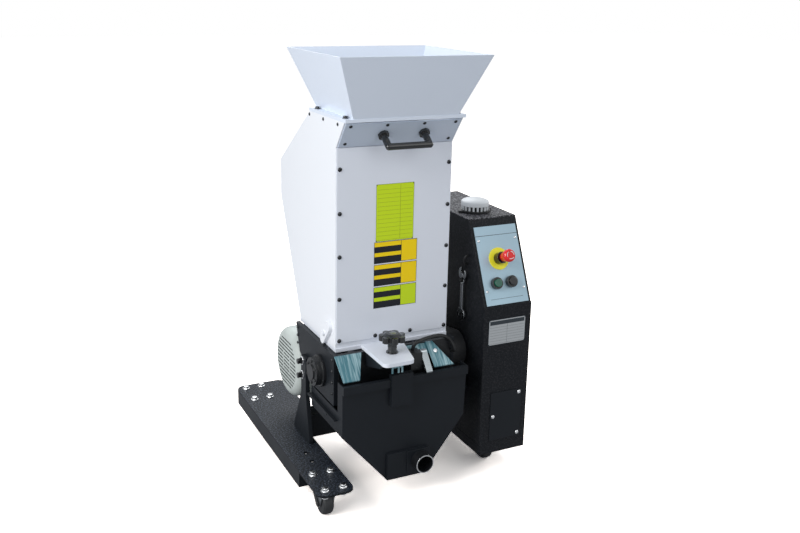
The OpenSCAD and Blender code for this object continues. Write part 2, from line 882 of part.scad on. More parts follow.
// Chrome lever that swings up off the bin's rim
module latch_lever() {
    eye_r = 8;
    tip_r = 4;
    x0 = switch_left + switch_w + run_gap;
    tip_y = lever_y - lever_reach_y;
    tip_z = bin_rim_z + tip_r + lever_tip_gap;
    color("#cfd3d5") datum() difference() {
        along_x(x0, x0 + lever_w - run_gap) union() {
            translate([lever_y, lever_z]) circle(r = eye_r);
            translate([tip_y, tip_z]) circle(r = tip_r);
            polygon([
                [lever_y - eye_r * 0.8, lever_z + eye_r * 0.5],
                [tip_y - tip_r * 0.8, tip_z + tip_r * 0.5],
                [tip_y + tip_r * 0.8, tip_z - tip_r * 0.5],
                [lever_y + eye_r * 0.8, lever_z - eye_r * 0.5]
            ]);
        }
        translate([0, lever_y, lever_z]) rod_x(lever_pin_r + shaft_gap, x0 - over, x0 + lever_w + over);
    }
}

// Hopper

throat_front = cover_t;

function throat_outline() = [
    [throat_front, throat_base_z],
    [throat_base_d, throat_base_z],
    [throat_bulge_d, bulge_low_z],
    [throat_bulge_d, bulge_high_z],
    [throat_top_d, throat_top_z],
    [throat_front - panel_lean, throat_top_z],
    [throat_front, cover_top_z]
];

module hopper_throat() {
    lug_r = 12;
    lug_w = hinge_w / 3 - run_gap;
    color("#eef0f0") datum() {
        difference() {
            along_x(-half_w + hopper_t, half_w - hopper_t) polygon(throat_outline());
            along_x(-half_w, half_w) polygon(inset(throat_outline(), hopper_t));
            span([-mouth_x, mouth_front, throat_base_z - over],
                 [mouth_x, mouth_back, throat_base_z + 2 * hopper_t]);
            span([-funnel_w / 2 + hopper_t, funnel_front + 3 * hopper_t, throat_top_z - 2 * hopper_t],
                 [funnel_w / 2 - hopper_t, throat_top_d - 3 * hopper_t, throat_top_z + over]);
        }
        // Base flange with the clamping tab
        difference() {
            union() {
                translate([0, 0, flange_z]) linear_extrude(flange_t) union() {
                    polygon(rect(-half_w, 0, half_w, throat_base_d));
                    polygon(rounded([[tab_left, tab_corner * 2], [tab_left, -tab_l],
                                     [tab_tip_right, -tab_l], [tab_right, -2 * tab_corner],
                                     [tab_right, tab_corner * 2]], tab_corner));
                }
                for (s = [-1, 1]) along_x(s * hinge_x - lug_w / 2, s * hinge_x + lug_w / 2) union() {
                    translate([hinge_y, hinge_z]) circle(r = lug_r);
                    polygon([[throat_base_d - lug_r * 0.5, flange_z], [hinge_y - lug_r * 0.5, hinge_z],
                             [hinge_y + lug_r, hinge_z], [hinge_y + lug_r, flange_z + flange_t],
                             [throat_base_d - lug_r * 0.5, flange_z + flange_t]]);
                }
            }
            span([-mouth_x, mouth_front, flange_z - over], [mouth_x, mouth_back, throat_base_z + over]);
            translate([knob_x, knob_y, flange_z - over]) cylinder(h = flange_t + 2 * over, d = stud_hole_d);
            translate([0, hinge_y, hinge_z]) rod_x(hinge_pin_r + shaft_gap, -half_w, half_w);
        }
    }
}

// Flat side panels screwed to the folded wrapper
module throat_sides() {
    color("#f2f3f4") datum() for (s = [-1, 1])
        along_x(s > 0 ? half_w - hopper_t : -half_w, s > 0 ? half_w : -half_w + hopper_t)
            polygon(throat_outline());
}

module front_cover() {
    color("#e4e8ec") datum()
        span([-half_w + cover_gap, 0, cover_low_z], [half_w - cover_gap, cover_t, cover_top_z]);
}

// Frame that lies in the sloped panel: origin at the panel's middle, Z out of it
panel_l = norm([panel_lean, throat_top_z - cover_top_z]);
panel_tilt = atan2(throat_top_z - cover_top_z, panel_lean);

module at_panel() {
    translate([0, (throat_front * 2 - panel_lean) / 2, (throat_top_z + cover_top_z) / 2])
        rotate([180 - panel_tilt, 0, 0]) children();
}

module sloped_panel() {
    edge = 4;
    t = 2.5;
    color("#c6d0dc") datum() at_panel()
        span([-half_w + edge, -panel_l / 2 + edge, 0], [half_w - edge, panel_l / 2 - edge, t]);
}

handle_x = 7;
handle_l = 110;
handle_out = 42;
handle_r = 8.5;

module pull_handle() {
    foot_r = 14.5;
    foot_h = 8;
    seat = 2.5;
    color("#15171a") datum() translate([handle_x, 0, 0]) at_panel() translate([0, 0, seat]) {
        for (s = [-1, 1]) translate([s * handle_l / 2, 0, 0]) {
            cylinder(h = foot_h, r = foot_r, $fn = 8);
            cylinder(h = handle_out, r = handle_r);
        }
        translate([0, 0, handle_out]) rod_x(handle_r, -handle_l / 2, handle_l / 2);
        for (s = [-1, 1]) translate([s * handle_l / 2, 0, handle_out]) sphere(r = handle_r);
    }
}

// Tapered block of the funnel, grown by d on each side of its wall
module funnel_block(d, low, high) {
    slab = 1;
    cy = funnel_front + funnel_d / 2;
    hull() {
        translate([-funnel_w / 2 - d, cy - funnel_d / 2 - d, funnel_z + low])
            cube([funnel_w + 2 * d, funnel_d + 2 * d, slab]);
        translate([-funnel_w / 2 - funnel_flare - d, cy - funnel_d / 2 - funnel_flare - d,
                   funnel_z + funnel_h + high - slab])
            cube([funnel_w + 2 * (funnel_flare + d), funnel_d + 2 * (funnel_flare + d), slab]);
    }
}

module feed_funnel() {
    t = hopper_t;
    color("#f2f3f3") datum() {
        difference() {
            span([-funnel_w / 2 - funnel_edge, funnel_front - over, throat_top_z],
                 [funnel_w / 2 + funnel_edge, funnel_front + funnel_d + over, funnel_z]);
            span([-funnel_w / 2 + t, funnel_front + t, throat_top_z - over],
                 [funnel_w / 2 - t, funnel_front + funnel_d - t, funnel_z + over]);
        }
        difference() {
            funnel_block(0, 0, 0);
            funnel_block(-t, -over, over);
        }
    }
}

module hopper_screws() {
    color("#24272a") datum() {
        for (s = [-1, 1], i = [0 : screw_rows - 1])
            translate([s * screw_x, 0, screw_low_z + (screw_high_z - screw_low_z) * i / (screw_rows - 1)])
                rod_y(screw_d / 2, -screw_h, 0);
        for (s = [-1, 1]) translate([s * screw_x / 3, 0, screw_low_z]) rod_y(screw_d / 2, -screw_h, 0);
        for (s = [-1, 1], share = FLANGE_BOLT_SHARES)
            translate([s * (funnel_w / 2 + funnel_edge / 2), funnel_front + funnel_d * share, funnel_z]) hex_head(screw_d, screw_h * 2);
    }
}

module side_arms() {
    t = 10;
    // Centre of the upper and the lower eye, from the throat's base line
    top = [38, throat_base_z + 48];
    low = [68, throat_base_z + 6];
    r_top = 16;
    r_low = 13;
    bolt_r = 7;
    bolt_reach = 6;
    across = turned(unit(low - top));
    color("#e9ebeb") datum() for (s = [0, 1]) mirror([s, 0, 0]) {
        along_x(-half_w - t, -half_w) union() {
            translate(top) circle(r = r_top);
            translate(low) circle(r = r_low);
            polygon([top + across * r_top, low + across * r_low, low - across * r_low, top - across * r_top]);
        }
        translate([0, (top[0] + low[0]) / 2, (top[1] + low[1]) / 2])
            rod_x(bolt_r, -half_w - t - bolt_reach, -half_w - t);
    }
}

knob_r = 31;
knob_lobes = 7;

module star_knob() {
    washer_t = 3;
    neck_h = 32;
    head_h = 15;
    crown_h = 5;
    color("#141619") datum() translate([knob_x, knob_y, throat_base_z]) {
        translate([0, 0, run_gap]) cylinder(h = washer_t, r = stud_d * 1.3);
        translate([0, 0, washer_t]) cylinder(h = neck_h, r1 = stud_d, r2 = stud_d * 0.8);
        translate([0, 0, neck_h]) linear_extrude(head_h) union() {
            circle(r = knob_r * 0.72);
            for (k = [0 : knob_lobes - 1]) rotate(360 * k / knob_lobes)
                translate([knob_r * 0.72, 0]) circle(r = knob_r * 0.28);
        }
        translate([0, 0, neck_h + head_h]) cylinder(h = crown_h, r1 = knob_r * 0.72, r2 = knob_r * 0.5);
        translate([0, 0, -flange_t - stud_reach])
            cylinder(h = flange_t + stud_reach + neck_h, r = stud_d / 2);
    }
}

// Control box

box_t = 2.5;
box_step = 4;

function box_outline() = [
    [box_front, caster_h],
    [box_back, caster_h],
    [box_back, box_top_z],
    [box_front + box_setback, box_top_z],
    [box_front + box_step, box_knee_z],
    [box_front, box_knee_z]
];

module control_box() {
    color("#1f2226") datum() {
        difference() {
            along_x(box_left, box_right) polygon(box_outline());
            along_x(box_left + box_t, box_right - box_t) polygon(inset(box_outline(), box_t));
        }
        // Skirts hung round the casters, a welding gap below the box
        for (x = [box_left, box_right - box_t])
            span([x, box_front, skirt_z], [x + box_t, box_back, caster_h - run_gap]);
        for (y = [box_front, box_back - box_t])
            span([box_left + box_t + run_gap, y, skirt_z],
                 [box_right - box_t - run_gap, y + box_t, caster_h - run_gap]);
    }
}

// Frame in the slope of the box: origin at the middle of the slope, Z out of it
slope_d = box_setback - box_step;
slope_l = norm([slope_d, box_top_z - box_knee_z]);
slope_tilt = atan2(box_top_z - box_knee_z, slope_d);

module at_slope() {
    translate([(box_left + box_right) / 2, box_front + box_step + slope_d / 2, (box_knee_z + box_top_z) / 2])
        rotate([slope_tilt, 0, 0]) children();
}

panel_margin = 8;
panel_w = box_w - 2 * panel_margin;
panel_head_gap = 24;
panel_foot_gap = 2;
plate_t = 2;
estop_x = -5;
estop_y = 5;
estop_collar_h = 22;
estop_disc_d = 60;
estop_disc_t = 2;
stem_r = 8;
button_y = -60;
button_offset = -4;
button_x = 23;
button_d = 22;
collar_d = 32;
collar_h = 12;

module control_plate() {
    color("#b8c8d8") datum() at_slope()
        span([-panel_w / 2, panel_foot_gap - slope_l / 2, 0],
             [panel_w / 2, slope_l / 2 - panel_head_gap, plate_t]);
}

module estop_ring() {
    color("#f0c81e") datum() at_slope() translate([estop_x, estop_y, plate_t]) difference() {
        cylinder(h = estop_disc_t, d = estop_disc_d);
        translate([0, 0, -over]) cylinder(h = estop_disc_t + 2 * over, d = collar_d);
    }
}

// Collar of height h with a blind bore of radius r
module collar(h, r) {
    difference() {
        cylinder(h = h, d = collar_d);
        translate([0, 0, over]) cylinder(h = h, r = r + shaft_gap);
    }
}

module button_collars() {
    color("#17191b") datum() at_slope() {
        translate([estop_x, estop_y, plate_t]) collar(estop_collar_h, stem_r);
        for (s = [-1, 1]) translate([button_offset + s * button_x, button_y, plate_t])
            collar(collar_h, button_d / 2);
    }
}

press_travel = 4;

module estop_head() {
    cone_h = 24;
    rim_h = 7;
    crown_h = 5;
    face_r = estop_d / 2;
    low = estop_collar_h + press_travel + run_gap;
    color("#c81e1e") datum() at_slope() translate([estop_x, estop_y, plate_t]) {
        translate([0, 0, over + press_travel]) cylinder(h = estop_collar_h + rim_h, r = stem_r);
        translate([0, 0, low]) cylinder(h = cone_h, r1 = face_r * 0.68, r2 = face_r);
        translate([0, 0, low + cone_h]) cylinder(h = rim_h, r = face_r);
        translate([0, 0, low + cone_h + rim_h]) cylinder(h = crown_h, r1 = face_r, r2 = face_r * 0.78);
    }
}

module push_button(s) {
    at_slope() translate([button_offset + s * button_x, button_y, plate_t + over + press_travel])
        cylinder(h = collar_h, d = button_d);
}
module start_button() { color("#2f9d4a") datum() push_button(-1); }
module stop_button() { color("#1a1c1e") datum() push_button(1); }

name_left = box_left + 14;
name_low_z = box_knee_z - 108;
name_w = 114;
name_h = 71;
name_t = 1;

module nameplate() {
    color("#c9cdd0") datum()
        span([name_left, box_front - name_t, name_low_z], [name_left + name_w, box_front, name_low_z + name_h]);
}

module service_hatch() {
    color("#24272b") datum() translate([0, 0, hatch_low_z])
        span([hatch_left, box_front - hatch_t, 0], [hatch_left + hatch_w, box_front, hatch_h]);
}

// Spanner that hangs beside the box on a peg, by the eye below its upper jaw
peg_y = 50;
peg_z = 537;
peg_r = 4;
wrench_l = 151;
wrench_t = 6;
wrench_gap = 4;
jaw_r = 18;
jaw_w = 17;
eye_r = 6;
eye_drop = 20;

module wrench_hook() {
    stop_r = 7;
    stop_t = 2;
    loop_r = 12;
    wire_r = 2.5;
    peg_end = wrench_gap + wrench_t + stop_t;
    color("#1b1d1f") datum() translate([box_left, peg_y, peg_z]) {
        rod_x(peg_r, -peg_end - stop_t, 0);
        rod_x(stop_r, -peg_end - stop_t, -peg_end);
        // Round loop above the spanner
        translate([0, -loop_r, 2 * eye_drop + jaw_r]) rotate([90, 90, 0])
            rotate_extrude(angle = -180) translate([loop_r, 0]) circle(r = wire_r);
    }
}

module wrench() {
    hang = eye_r - peg_r - run_gap / 2;
    shank_w = 12;
    boss_r = 11;
    jaw_tilt = 15;
    low = wrench_l - 2 * jaw_r - eye_drop;
    color("#d5d8da") datum() translate([box_left - wrench_gap - wrench_t, peg_y, peg_z - hang]) difference() {
        along_x(0, wrench_t) union() {
            circle(r = boss_r);
            translate([0, eye_drop]) circle(r = jaw_r);
            translate([0, -low]) circle(r = jaw_r);
            translate([-shank_w / 2, -low]) square([shank_w, low + eye_drop]);
        }
        rod_x(eye_r, -over, wrench_t + over);
        translate([0, 0, eye_drop]) rotate([jaw_tilt, 0, 0])
            span([-over, -jaw_w / 2, -over], [wrench_t + over, jaw_w / 2, jaw_r + over]);
        translate([0, 0, -low]) rotate([180 + jaw_tilt, 0, 0])
            span([-over, -jaw_w / 2, -over], [wrench_t + over, jaw_w / 2, jaw_r + over]);
    }
}

vent_x = box_left + 63;
vent_y = 118;
vent_d = 77;
vent_flange_t = 6;
vent_collar_h = 12;
vent_ears_d = 18;

module vent_base() {
    flange_r = vent_d / 2 + 4;
    color("#17191b") datum() translate([vent_x, vent_y, box_top_z]) {
        cylinder(h = vent_flange_t, r = flange_r);
        for (s = [-1, 1]) translate([s * flange_r, 0, 0]) cylinder(h = vent_flange_t, d = vent_ears_d);
        translate([0, 0, vent_flange_t]) cylinder(h = vent_collar_h, r = vent_d / 2 - 5);
    }
}

// Domed cap whose collar is cut into windows
module vent_cap() {
    post_count = 20;
    post_w = 5;
    r = vent_d / 2;
    dome_h = 20;
    rim_share = 0.45;
    color("#e8eaea") datum() translate([vent_x, vent_y, box_top_z + vent_flange_t]) {
        for (k = [0 : post_count - 1]) rotate(360 * k / post_count)
            translate([r - post_w, -post_w / 2, 0]) cube([post_w - over, post_w, vent_collar_h + over]);
        translate([0, 0, vent_collar_h]) rotate_extrude() polygon(concat(
            [[0, 0], [r, 0]],
            [for (k = [0 : round_steps]) let (g = 90 * k / round_steps)
                [r * cos(g), dome_h * (rim_share + (1 - rim_share) * sin(g))]]));
    }
}

// Casters

module caster_plates() {
    color("#b9bec1") datum() for (c = CASTERS)
        translate([c[0], c[1], caster_h - caster_plate_t]) difference() {
            union() {
                linear_extrude(caster_plate_t) polygon(rounded(rect(
                    -caster_plate_w / 2, -caster_plate_l / 2, caster_plate_w / 2, caster_plate_l / 2), 8));
                translate([0, 0, -8]) cylinder(h = 9, r = 20);
            }
            translate([0, 0, -8 - over]) cylinder(h = 8, r = 8 + shaft_gap);
        }
}

module caster_fork(i) {
    top = caster_h - caster_plate_t - 8 - run_gap;
    color("#aeb3b6") datum() translate([CASTERS[i][0], CASTERS[i][1], 0]) {
        translate([0, 0, top - 4]) cylinder(h = 4, r = 21);
        translate([0, 0, top - 4]) cylinder(h = 4 + 7, r = 8);
        for (s = [-1, 1]) difference() {
            along_x(s > 0 ? wheel_w / 2 + 2 : -wheel_w / 2 - 2 - fork_t,
                    s > 0 ? wheel_w / 2 + 2 + fork_t : -wheel_w / 2 - 2)
                polygon([[-12, top - 3], [18, top - 3], [caster_trail + 10, wheel_d / 2 - 6],
                         [caster_trail - 10, wheel_d / 2 - 8]]);
            translate([0, caster_trail, wheel_d / 2]) rod_x(4 + shaft_gap, -wheel_w, wheel_w);
        }
    }
}

module caster_wheel(i) {
    color("#2a2c2e") datum() translate([CASTERS[i][0], CASTERS[i][1] + caster_trail, wheel_d / 2]) {
        rotate([0, 90, 0]) rotate_extrude() polygon([
            [0, -wheel_w / 2], [wheel_d / 2 - 4, -wheel_w / 2], [wheel_d / 2, -wheel_w / 2 + 5],
            [wheel_d / 2, wheel_w / 2 - 5], [wheel_d / 2 - 4, wheel_w / 2], [0, wheel_w / 2]]);
        rod_x(4, -axle_end, axle_end);
    }
}

axle_end = wheel_w / 2 + 2 + fork_t + 4;

module brake_pedal(i) {
    arm_x = wheel_w / 2 + 2 + fork_t + run_gap;
    arm_t = 3;
    tread_y = 24;
    tread_l = 12;
    tread_z = 29;
    tread_t = 4;
    color("#c43a2a") datum() translate([CASTERS[i][0], CASTERS[i][1] + caster_trail, wheel_d / 2]) {
        for (s = [0, 1]) mirror([s, 0, 0]) along_x(arm_x, arm_x + arm_t) difference() {
            union() {
                circle(r = 9);
                polygon([[-5, 6], [6, -6], [tread_y + tread_l, tread_z], [tread_y, tread_z + tread_t]]);
            }
            circle(r = 4 + shaft_gap);
        }
        span([-arm_x - arm_t, tread_y, tread_z], [arm_x + arm_t, tread_y + tread_l, tread_z + tread_t]);
    }
}

module caster_fork_1() { caster_fork(0); }
module caster_fork_2() { caster_fork(1); }
module caster_fork_3() { caster_fork(2); }
module caster_fork_4() { caster_fork(3); }
module caster_wheel_1() { caster_wheel(0); }
module caster_wheel_2() { caster_wheel(1); }
module caster_wheel_3() { caster_wheel(2); }
module caster_wheel_4() { caster_wheel(3); }
module brake_pedal_1() { brake_pedal(0); }
module brake_pedal_3() { brake_pedal(2); }

side_beam();
beam_plate();
frame_bolts();
cross_member();
upright();
chamber_sides();
chamber_walls();
chute_plates();
lock_bracket();
interlock_switch();
switch_cable();
bearing_housings();
end_cap();
fixed_knives();
comb_bars();
gearbox();
motor_body();
fan_cowl();
hinge_brackets();
bin_rails();
control_box();
control_plate();
estop_ring();
button_collars();
nameplate();
service_hatch();
wrench_hook();
wrench();
vent_base();
vent_cap();
caster_plates();
rotor_shaft();
rotor_cutters();
cooling_fan();
hopper_throat();
front_cover();
sloped_panel();
pull_handle();
feed_funnel();
hopper_screws();
side_arms();
throat_sides();
star_knob();
bin_shell();
outlet_plate();
outlet_pipe();
latch_lever();
estop_head();
start_button();
stop_button();
caster_fork_1();
caster_fork_2();
caster_fork_3();
caster_fork_4();
caster_wheel_1();
caster_wheel_2();
caster_wheel_3();
caster_wheel_4();
brake_pedal_1();
brake_pedal_3();
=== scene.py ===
"""Dresses the plastic granulator with finishes, soft edges, small parts, light and a camera."""

import json
import math

import bmesh
import bpy
from mathutils import Matrix, Vector


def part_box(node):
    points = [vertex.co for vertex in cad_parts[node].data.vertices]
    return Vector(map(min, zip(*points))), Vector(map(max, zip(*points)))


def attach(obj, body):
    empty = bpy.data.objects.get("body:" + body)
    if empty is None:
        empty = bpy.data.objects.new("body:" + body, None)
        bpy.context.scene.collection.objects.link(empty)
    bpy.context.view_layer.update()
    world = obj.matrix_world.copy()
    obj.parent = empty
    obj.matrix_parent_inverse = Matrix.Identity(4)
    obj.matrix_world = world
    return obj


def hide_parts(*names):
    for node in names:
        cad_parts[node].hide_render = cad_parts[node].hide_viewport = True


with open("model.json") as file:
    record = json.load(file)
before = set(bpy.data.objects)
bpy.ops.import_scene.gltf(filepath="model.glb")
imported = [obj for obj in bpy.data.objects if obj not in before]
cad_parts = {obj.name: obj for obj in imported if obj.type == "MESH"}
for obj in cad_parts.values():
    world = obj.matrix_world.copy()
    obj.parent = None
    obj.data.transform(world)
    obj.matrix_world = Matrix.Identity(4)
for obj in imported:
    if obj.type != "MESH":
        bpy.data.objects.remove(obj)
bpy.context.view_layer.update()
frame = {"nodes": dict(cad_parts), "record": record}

MM = 0.001
TINY = 0.002 * MM

# Place of the hopper's datum in the row frame, in millimetres
DATUM = Vector((-63.5, -210, 0))

# Camera, from the photograph's straight edges
CAMERA_PLACE = Vector((-1.0545, -2.236, 1.308))
CAMERA_YAW = math.radians(26.4)
CAMERA_PITCH = math.radians(-14.6)
CAMERA_ROLL = math.radians(1.2)
CAMERA_LENS = 41.9
SENSOR_WIDTH = 36.0
PHOTO_WIDTH = 800
PRINCIPAL_RISE = 40

# Paint and metal colours, linear
BLACK_COAT = (0.0052, 0.0066, 0.0090)
# Painted highlight on the wrinkle crests of the beam plate's top
BEAM_TOP_PAINTED_HIGHLIGHT = (0.075, 0.095, 0.13)
SHEET_BLACK = (0.0085, 0.0105, 0.0135)
# Painted highlight on the wrinkle crests of the control box's top
BOX_TOP_PAINTED_HIGHLIGHT = (0.30, 0.29, 0.32)
BLACKED_STEEL = (0.008, 0.009, 0.011)
# One white powder coat: the side copy is lighter with painted light, and the funnel and slope copies are
# darker and bluer with painted shade, as on faces turned away from the light
WHITE_COAT = (0.80, 0.83, 0.90)
SIDE_COAT_PAINTED_LIGHT = (0.88, 0.90, 0.94)
FUNNEL_COAT_PAINTED_SHADE = (0.76, 0.82, 0.92)
SLOPE_COAT_PAINTED_SHADE = (0.60, 0.67, 0.78)
MOTOR_PAINT = (0.58, 0.63, 0.60)
GEAR_PAINT = (0.020, 0.022, 0.024)
MOULDED_BLACK = (0.010, 0.011, 0.012)
SHEATH_BLACK = (0.012, 0.013, 0.014)
ZINC_BLUE = (0.07, 0.19, 0.23)
ZINC_PALE = (0.48, 0.66, 0.70)
BRIGHT_STEEL = (0.80, 0.81, 0.82)
GROUND_STEEL = (0.52, 0.53, 0.55)
CHROME = (0.66, 0.69, 0.71)
LEVER_CHROME = (0.40, 0.44, 0.46)
PANEL_BLUE = (0.36, 0.50, 0.58)
PANEL_INK = (0.05, 0.06, 0.07)
SILVER = (0.50, 0.52, 0.53)
DISC_YELLOW = (0.95, 0.86, 0.03)
FILM_LIME = (0.62, 0.80, 0.015)
FILM_LIME_INK = (0.16, 0.21, 0.02)
FILM_YELLOW = (1.0, 0.70, 0.004)
FILM_BLACK = (0.012, 0.014, 0.020)
STOP_RED = (0.74, 0.008, 0.010)
START_GREEN = (0.008, 0.10, 0.060)
VENT_WHITE = (0.80, 0.82, 0.83)
MARK_WHITE = (0.78, 0.78, 0.78)
TREAD_GREY = (0.022, 0.023, 0.025)
CASTER_ZINC = (0.42, 0.44, 0.46)
FLOOR_WHITE = (0.45, 0.45, 0.46)
FLOOR_SEEN = (2.7, 2.5, 2.35)
SKY_LIGHT = (0.88, 0.94, 1.0)


class Wire:
    """A socket in a finish; arithmetic on it adds Math nodes."""

    def __init__(self, finish, socket):
        self.finish = finish
        self.socket = socket

    def math(self, operation, *values):
        return self.finish.add("ShaderNodeMath", {"operation": operation}, dict(enumerate(values)))

    def __add__(self, other):
        return self.math("ADD", self, other)

    __radd__ = __add__

    def __sub__(self, other):
        return self.math("SUBTRACT", self, other)

    def __rsub__(self, other):
        return self.math("SUBTRACT", other, self)

    def __mul__(self, other):
        return self.math("MULTIPLY", self, other)

    __rmul__ = __mul__

    def __lt__(self, other):
        return self.math("LESS_THAN", self, other)

    def __gt__(self, other):
        return self.math("GREATER_THAN", self, other)

    def __abs__(self):
        return self.math("ABSOLUTE", self)

    def __mod__(self, other):
        return self.math("FLOORED_MODULO", self, other)


class Finish:
    """One material: a Principled shader and the nodes that vary it over the surface."""

    def __init__(self, name, colour, roughness, metallic=0.0, coat=0.0, gloss=0.5):
        self.material = bpy.data.materials.new(name)
        self.material.use_nodes = True
        self.tree = self.material.node_tree
        self.shader = self.tree.nodes["Principled BSDF"]
        self.put("Base Color", colour)
        self.put("Roughness", roughness)
        self.put("Metallic", metallic)
        self.put("Coat Weight", coat)
        self.put("Specular IOR Level", gloss)
        self.place = self.add("ShaderNodeTexCoord", output="Object")

    def feed(self, socket, value):
        if isinstance(value, Wire):
            self.tree.links.new(value.socket, socket)
        elif isinstance(value, tuple) and socket.type == "RGBA":
            socket.default_value = (*value, 1.0)
        else:
            socket.default_value = value

    def put(self, name, value):
        self.feed(self.shader.inputs[name], value)

    def add(self, kind, settings=None, values=None, output=0):
        made = self.tree.nodes.new(kind)
        for key, value in (settings or {}).items():
            if key == "stops":
                for stop, (position, shade) in zip(made.color_ramp.elements, value):
                    stop.position = position
                    stop.color = (shade, shade, shade, 1.0)
            else:
                setattr(made, key, value)
        for key, value in (values or {}).items():
            self.feed(made.inputs[key], value)
        return Wire(self, made.outputs[output])

    def noise(self, scale, detail=2.0, stretch=(1, 1, 1)):
        inputs = {"Vector": self.place, "Scale": stretch}
        along = self.add("ShaderNodeMapping", None, inputs)
        return self.add("ShaderNodeTexNoise", None, {"Vector": along, "Scale": scale, "Detail": detail})

    def ramp(self, value, low, high):
        stops = [(low, 0.0), (high, 1.0)]
        return self.add("ShaderNodeValToRGB", {"stops": stops}, {0: value})

    def mix(self, mask, below, above):
        return self.add("ShaderNodeMix", {"data_type": "RGBA"}, {0: mask, 6: below, 7: above}, 2)

    def bump(self, height, distance, strength=1.0):
        made = self.add("ShaderNodeBump", None,
                        {"Height": height, "Distance": distance, "Strength": strength})
        self.put("Normal", made)

    def axes(self):
        """X, Y and Z of the surface, in metres."""
        split = self.tree.nodes.new("ShaderNodeSeparateXYZ")
        self.feed(split.inputs[0], self.place)
        return [Wire(self, socket) for socket in split.outputs]


def wrinkle_coat(name, colour, top_highlight, level, grain=700, speckle=230, depth=0.3):
    """Textured powder coat: fine wrinkles, with a painted highlight on their crests, pale mainly on the faces
    above a height.
    """
    f = Finish(name, colour, 0.5, gloss=0.2)
    wrinkles = f.noise(grain, 3.0)
    height = f.axes()[2]
    # Painted highlight: the crests are pale on faces above the level and only faintly pale elsewhere
    crest_and_highlight = f.ramp(f.noise(speckle, 4.0), 0.48, 0.64) * (0.08 + 0.92 * (height > level))
    cloud = f.noise(9, 2.0)
    f.put("Base Color", f.mix(crest_and_highlight * 0.7, colour, top_highlight))
    f.put("Roughness", 0.40 + 0.12 * wrinkles + 0.12 * cloud - 0.12 * crest_and_highlight)
    f.bump(wrinkles * 0.4 + crest_and_highlight, depth * MM)
    return f.material


def sheet_black(name, colour):
    """Smoother black coat of the bin and the box, with a soft sheen."""
    f = Finish(name, colour, 0.42, gloss=0.2)
    cloud = f.noise(6, 3.0)
    paler = tuple(c * 1.5 for c in colour)
    f.put("Base Color", f.mix(cloud, colour, paler))
    f.put("Roughness", 0.34 + 0.20 * cloud)
    f.bump(f.noise(420, 3.0), 0.12 * MM)
    return f.material


def streaked_zinc(name, colour, pale):
    """Zinc sheet scratched and rubbed by granulate running down it."""
    f = Finish(name, colour, 0.30, metallic=0.55)
    streaks = f.noise(210, 4.0, (1, 0.07, 0.07))
    patches = f.noise(16, 3.0, (1, 0.5, 0.5))
    rubbed = f.ramp(streaks * 0.6 + patches * 0.4, 0.44, 0.66)
    f.put("Base Color", f.mix(rubbed, colour, pale))
    f.put("Roughness", 0.24 + 0.26 * streaks)
    f.bump(streaks, 0.10 * MM)
    return f.material


def smooth_coat(name, colour, roughness=0.34, peel=0.05):
    """Satin powder coat with the slight orange peel of sprayed sheet metal."""
    f = Finish(name, colour, roughness, coat=0.12)
    peel_noise = f.noise(260, 2.0)
    cloud = f.noise(3.0, 3.0)
    darker = tuple(c * 0.965 for c in colour)
    f.put("Base Color", f.mix(cloud, colour, darker))
    f.put("Roughness", roughness - 0.05 + 0.12 * cloud)
    f.bump(peel_noise, peel * MM * 2)
    return f.material


def enamel(name, colour, roughness=0.42):
    """Sprayed enamel over a casting."""
    f = Finish(name, colour, roughness)
    lumps = f.noise(320, 3.0)
    cloud = f.noise(14, 3.0)
    darker = tuple(c * 0.78 for c in colour)
    f.put("Base Color", f.mix(f.ramp(cloud, 0.35, 0.75), colour, darker))
    f.put("Roughness", roughness - 0.06 + 0.16 * cloud)
    f.bump(lumps, 0.25 * MM)
    return f.material


def moulded(name, colour, roughness=0.38, coat=0.0):
    """Moulded plastic with a fine tooled grain."""
    f = Finish(name, colour, roughness, coat=coat)
    grain = f.noise(1500, 2.0)
    cloud = f.noise(25, 2.0)
    f.put("Roughness", roughness - 0.04 + 0.10 * cloud)
    f.bump(grain, 0.03 * MM)
    return f.material


def rubber(name, colour):
    """Moulded rubber, dull and faintly dusty."""
    f = Finish(name, colour, 0.62)
    dust = f.ramp(f.noise(60, 4.0), 0.45, 0.80)
    paler = tuple(c * 1.6 + 0.01 for c in colour)
    f.put("Base Color", f.mix(dust, colour, paler))
    f.put("Roughness", 0.55 + 0.18 * dust)
    f.bump(f.noise(900, 2.0), 0.05 * MM)
    return f.material


def brushed(name, colour, roughness=0.30, stretch=(1, 1, 0.03), streaks=520):
    """Metal with fine drawn streaks."""
    f = Finish(name, colour, roughness, metallic=1.0)
    lines = f.noise(streaks, 2.0, stretch)
    cloud = f.noise(18, 3.0)
    darker = tuple(c * 0.72 for c in colour)
    f.put("Base Color", f.mix(f.ramp(cloud, 0.30, 0.75), colour, darker))
    f.put("Roughness", roughness - 0.08 + 0.12 * lines + 0.12 * cloud)
    f.bump(lines, 0.02 * MM)
    return f.material


def polished(name, colour, roughness=0.10):
    """Plated metal with a few handling marks."""
    f = Finish(name, colour, roughness, metallic=1.0)
    marks = f.noise(45, 4.0)
    f.put("Roughness", roughness - 0.03 + 0.14 * f.ramp(marks, 0.45, 0.85))
    f.bump(f.noise(120, 2.0), 0.02 * MM)
    return f.material


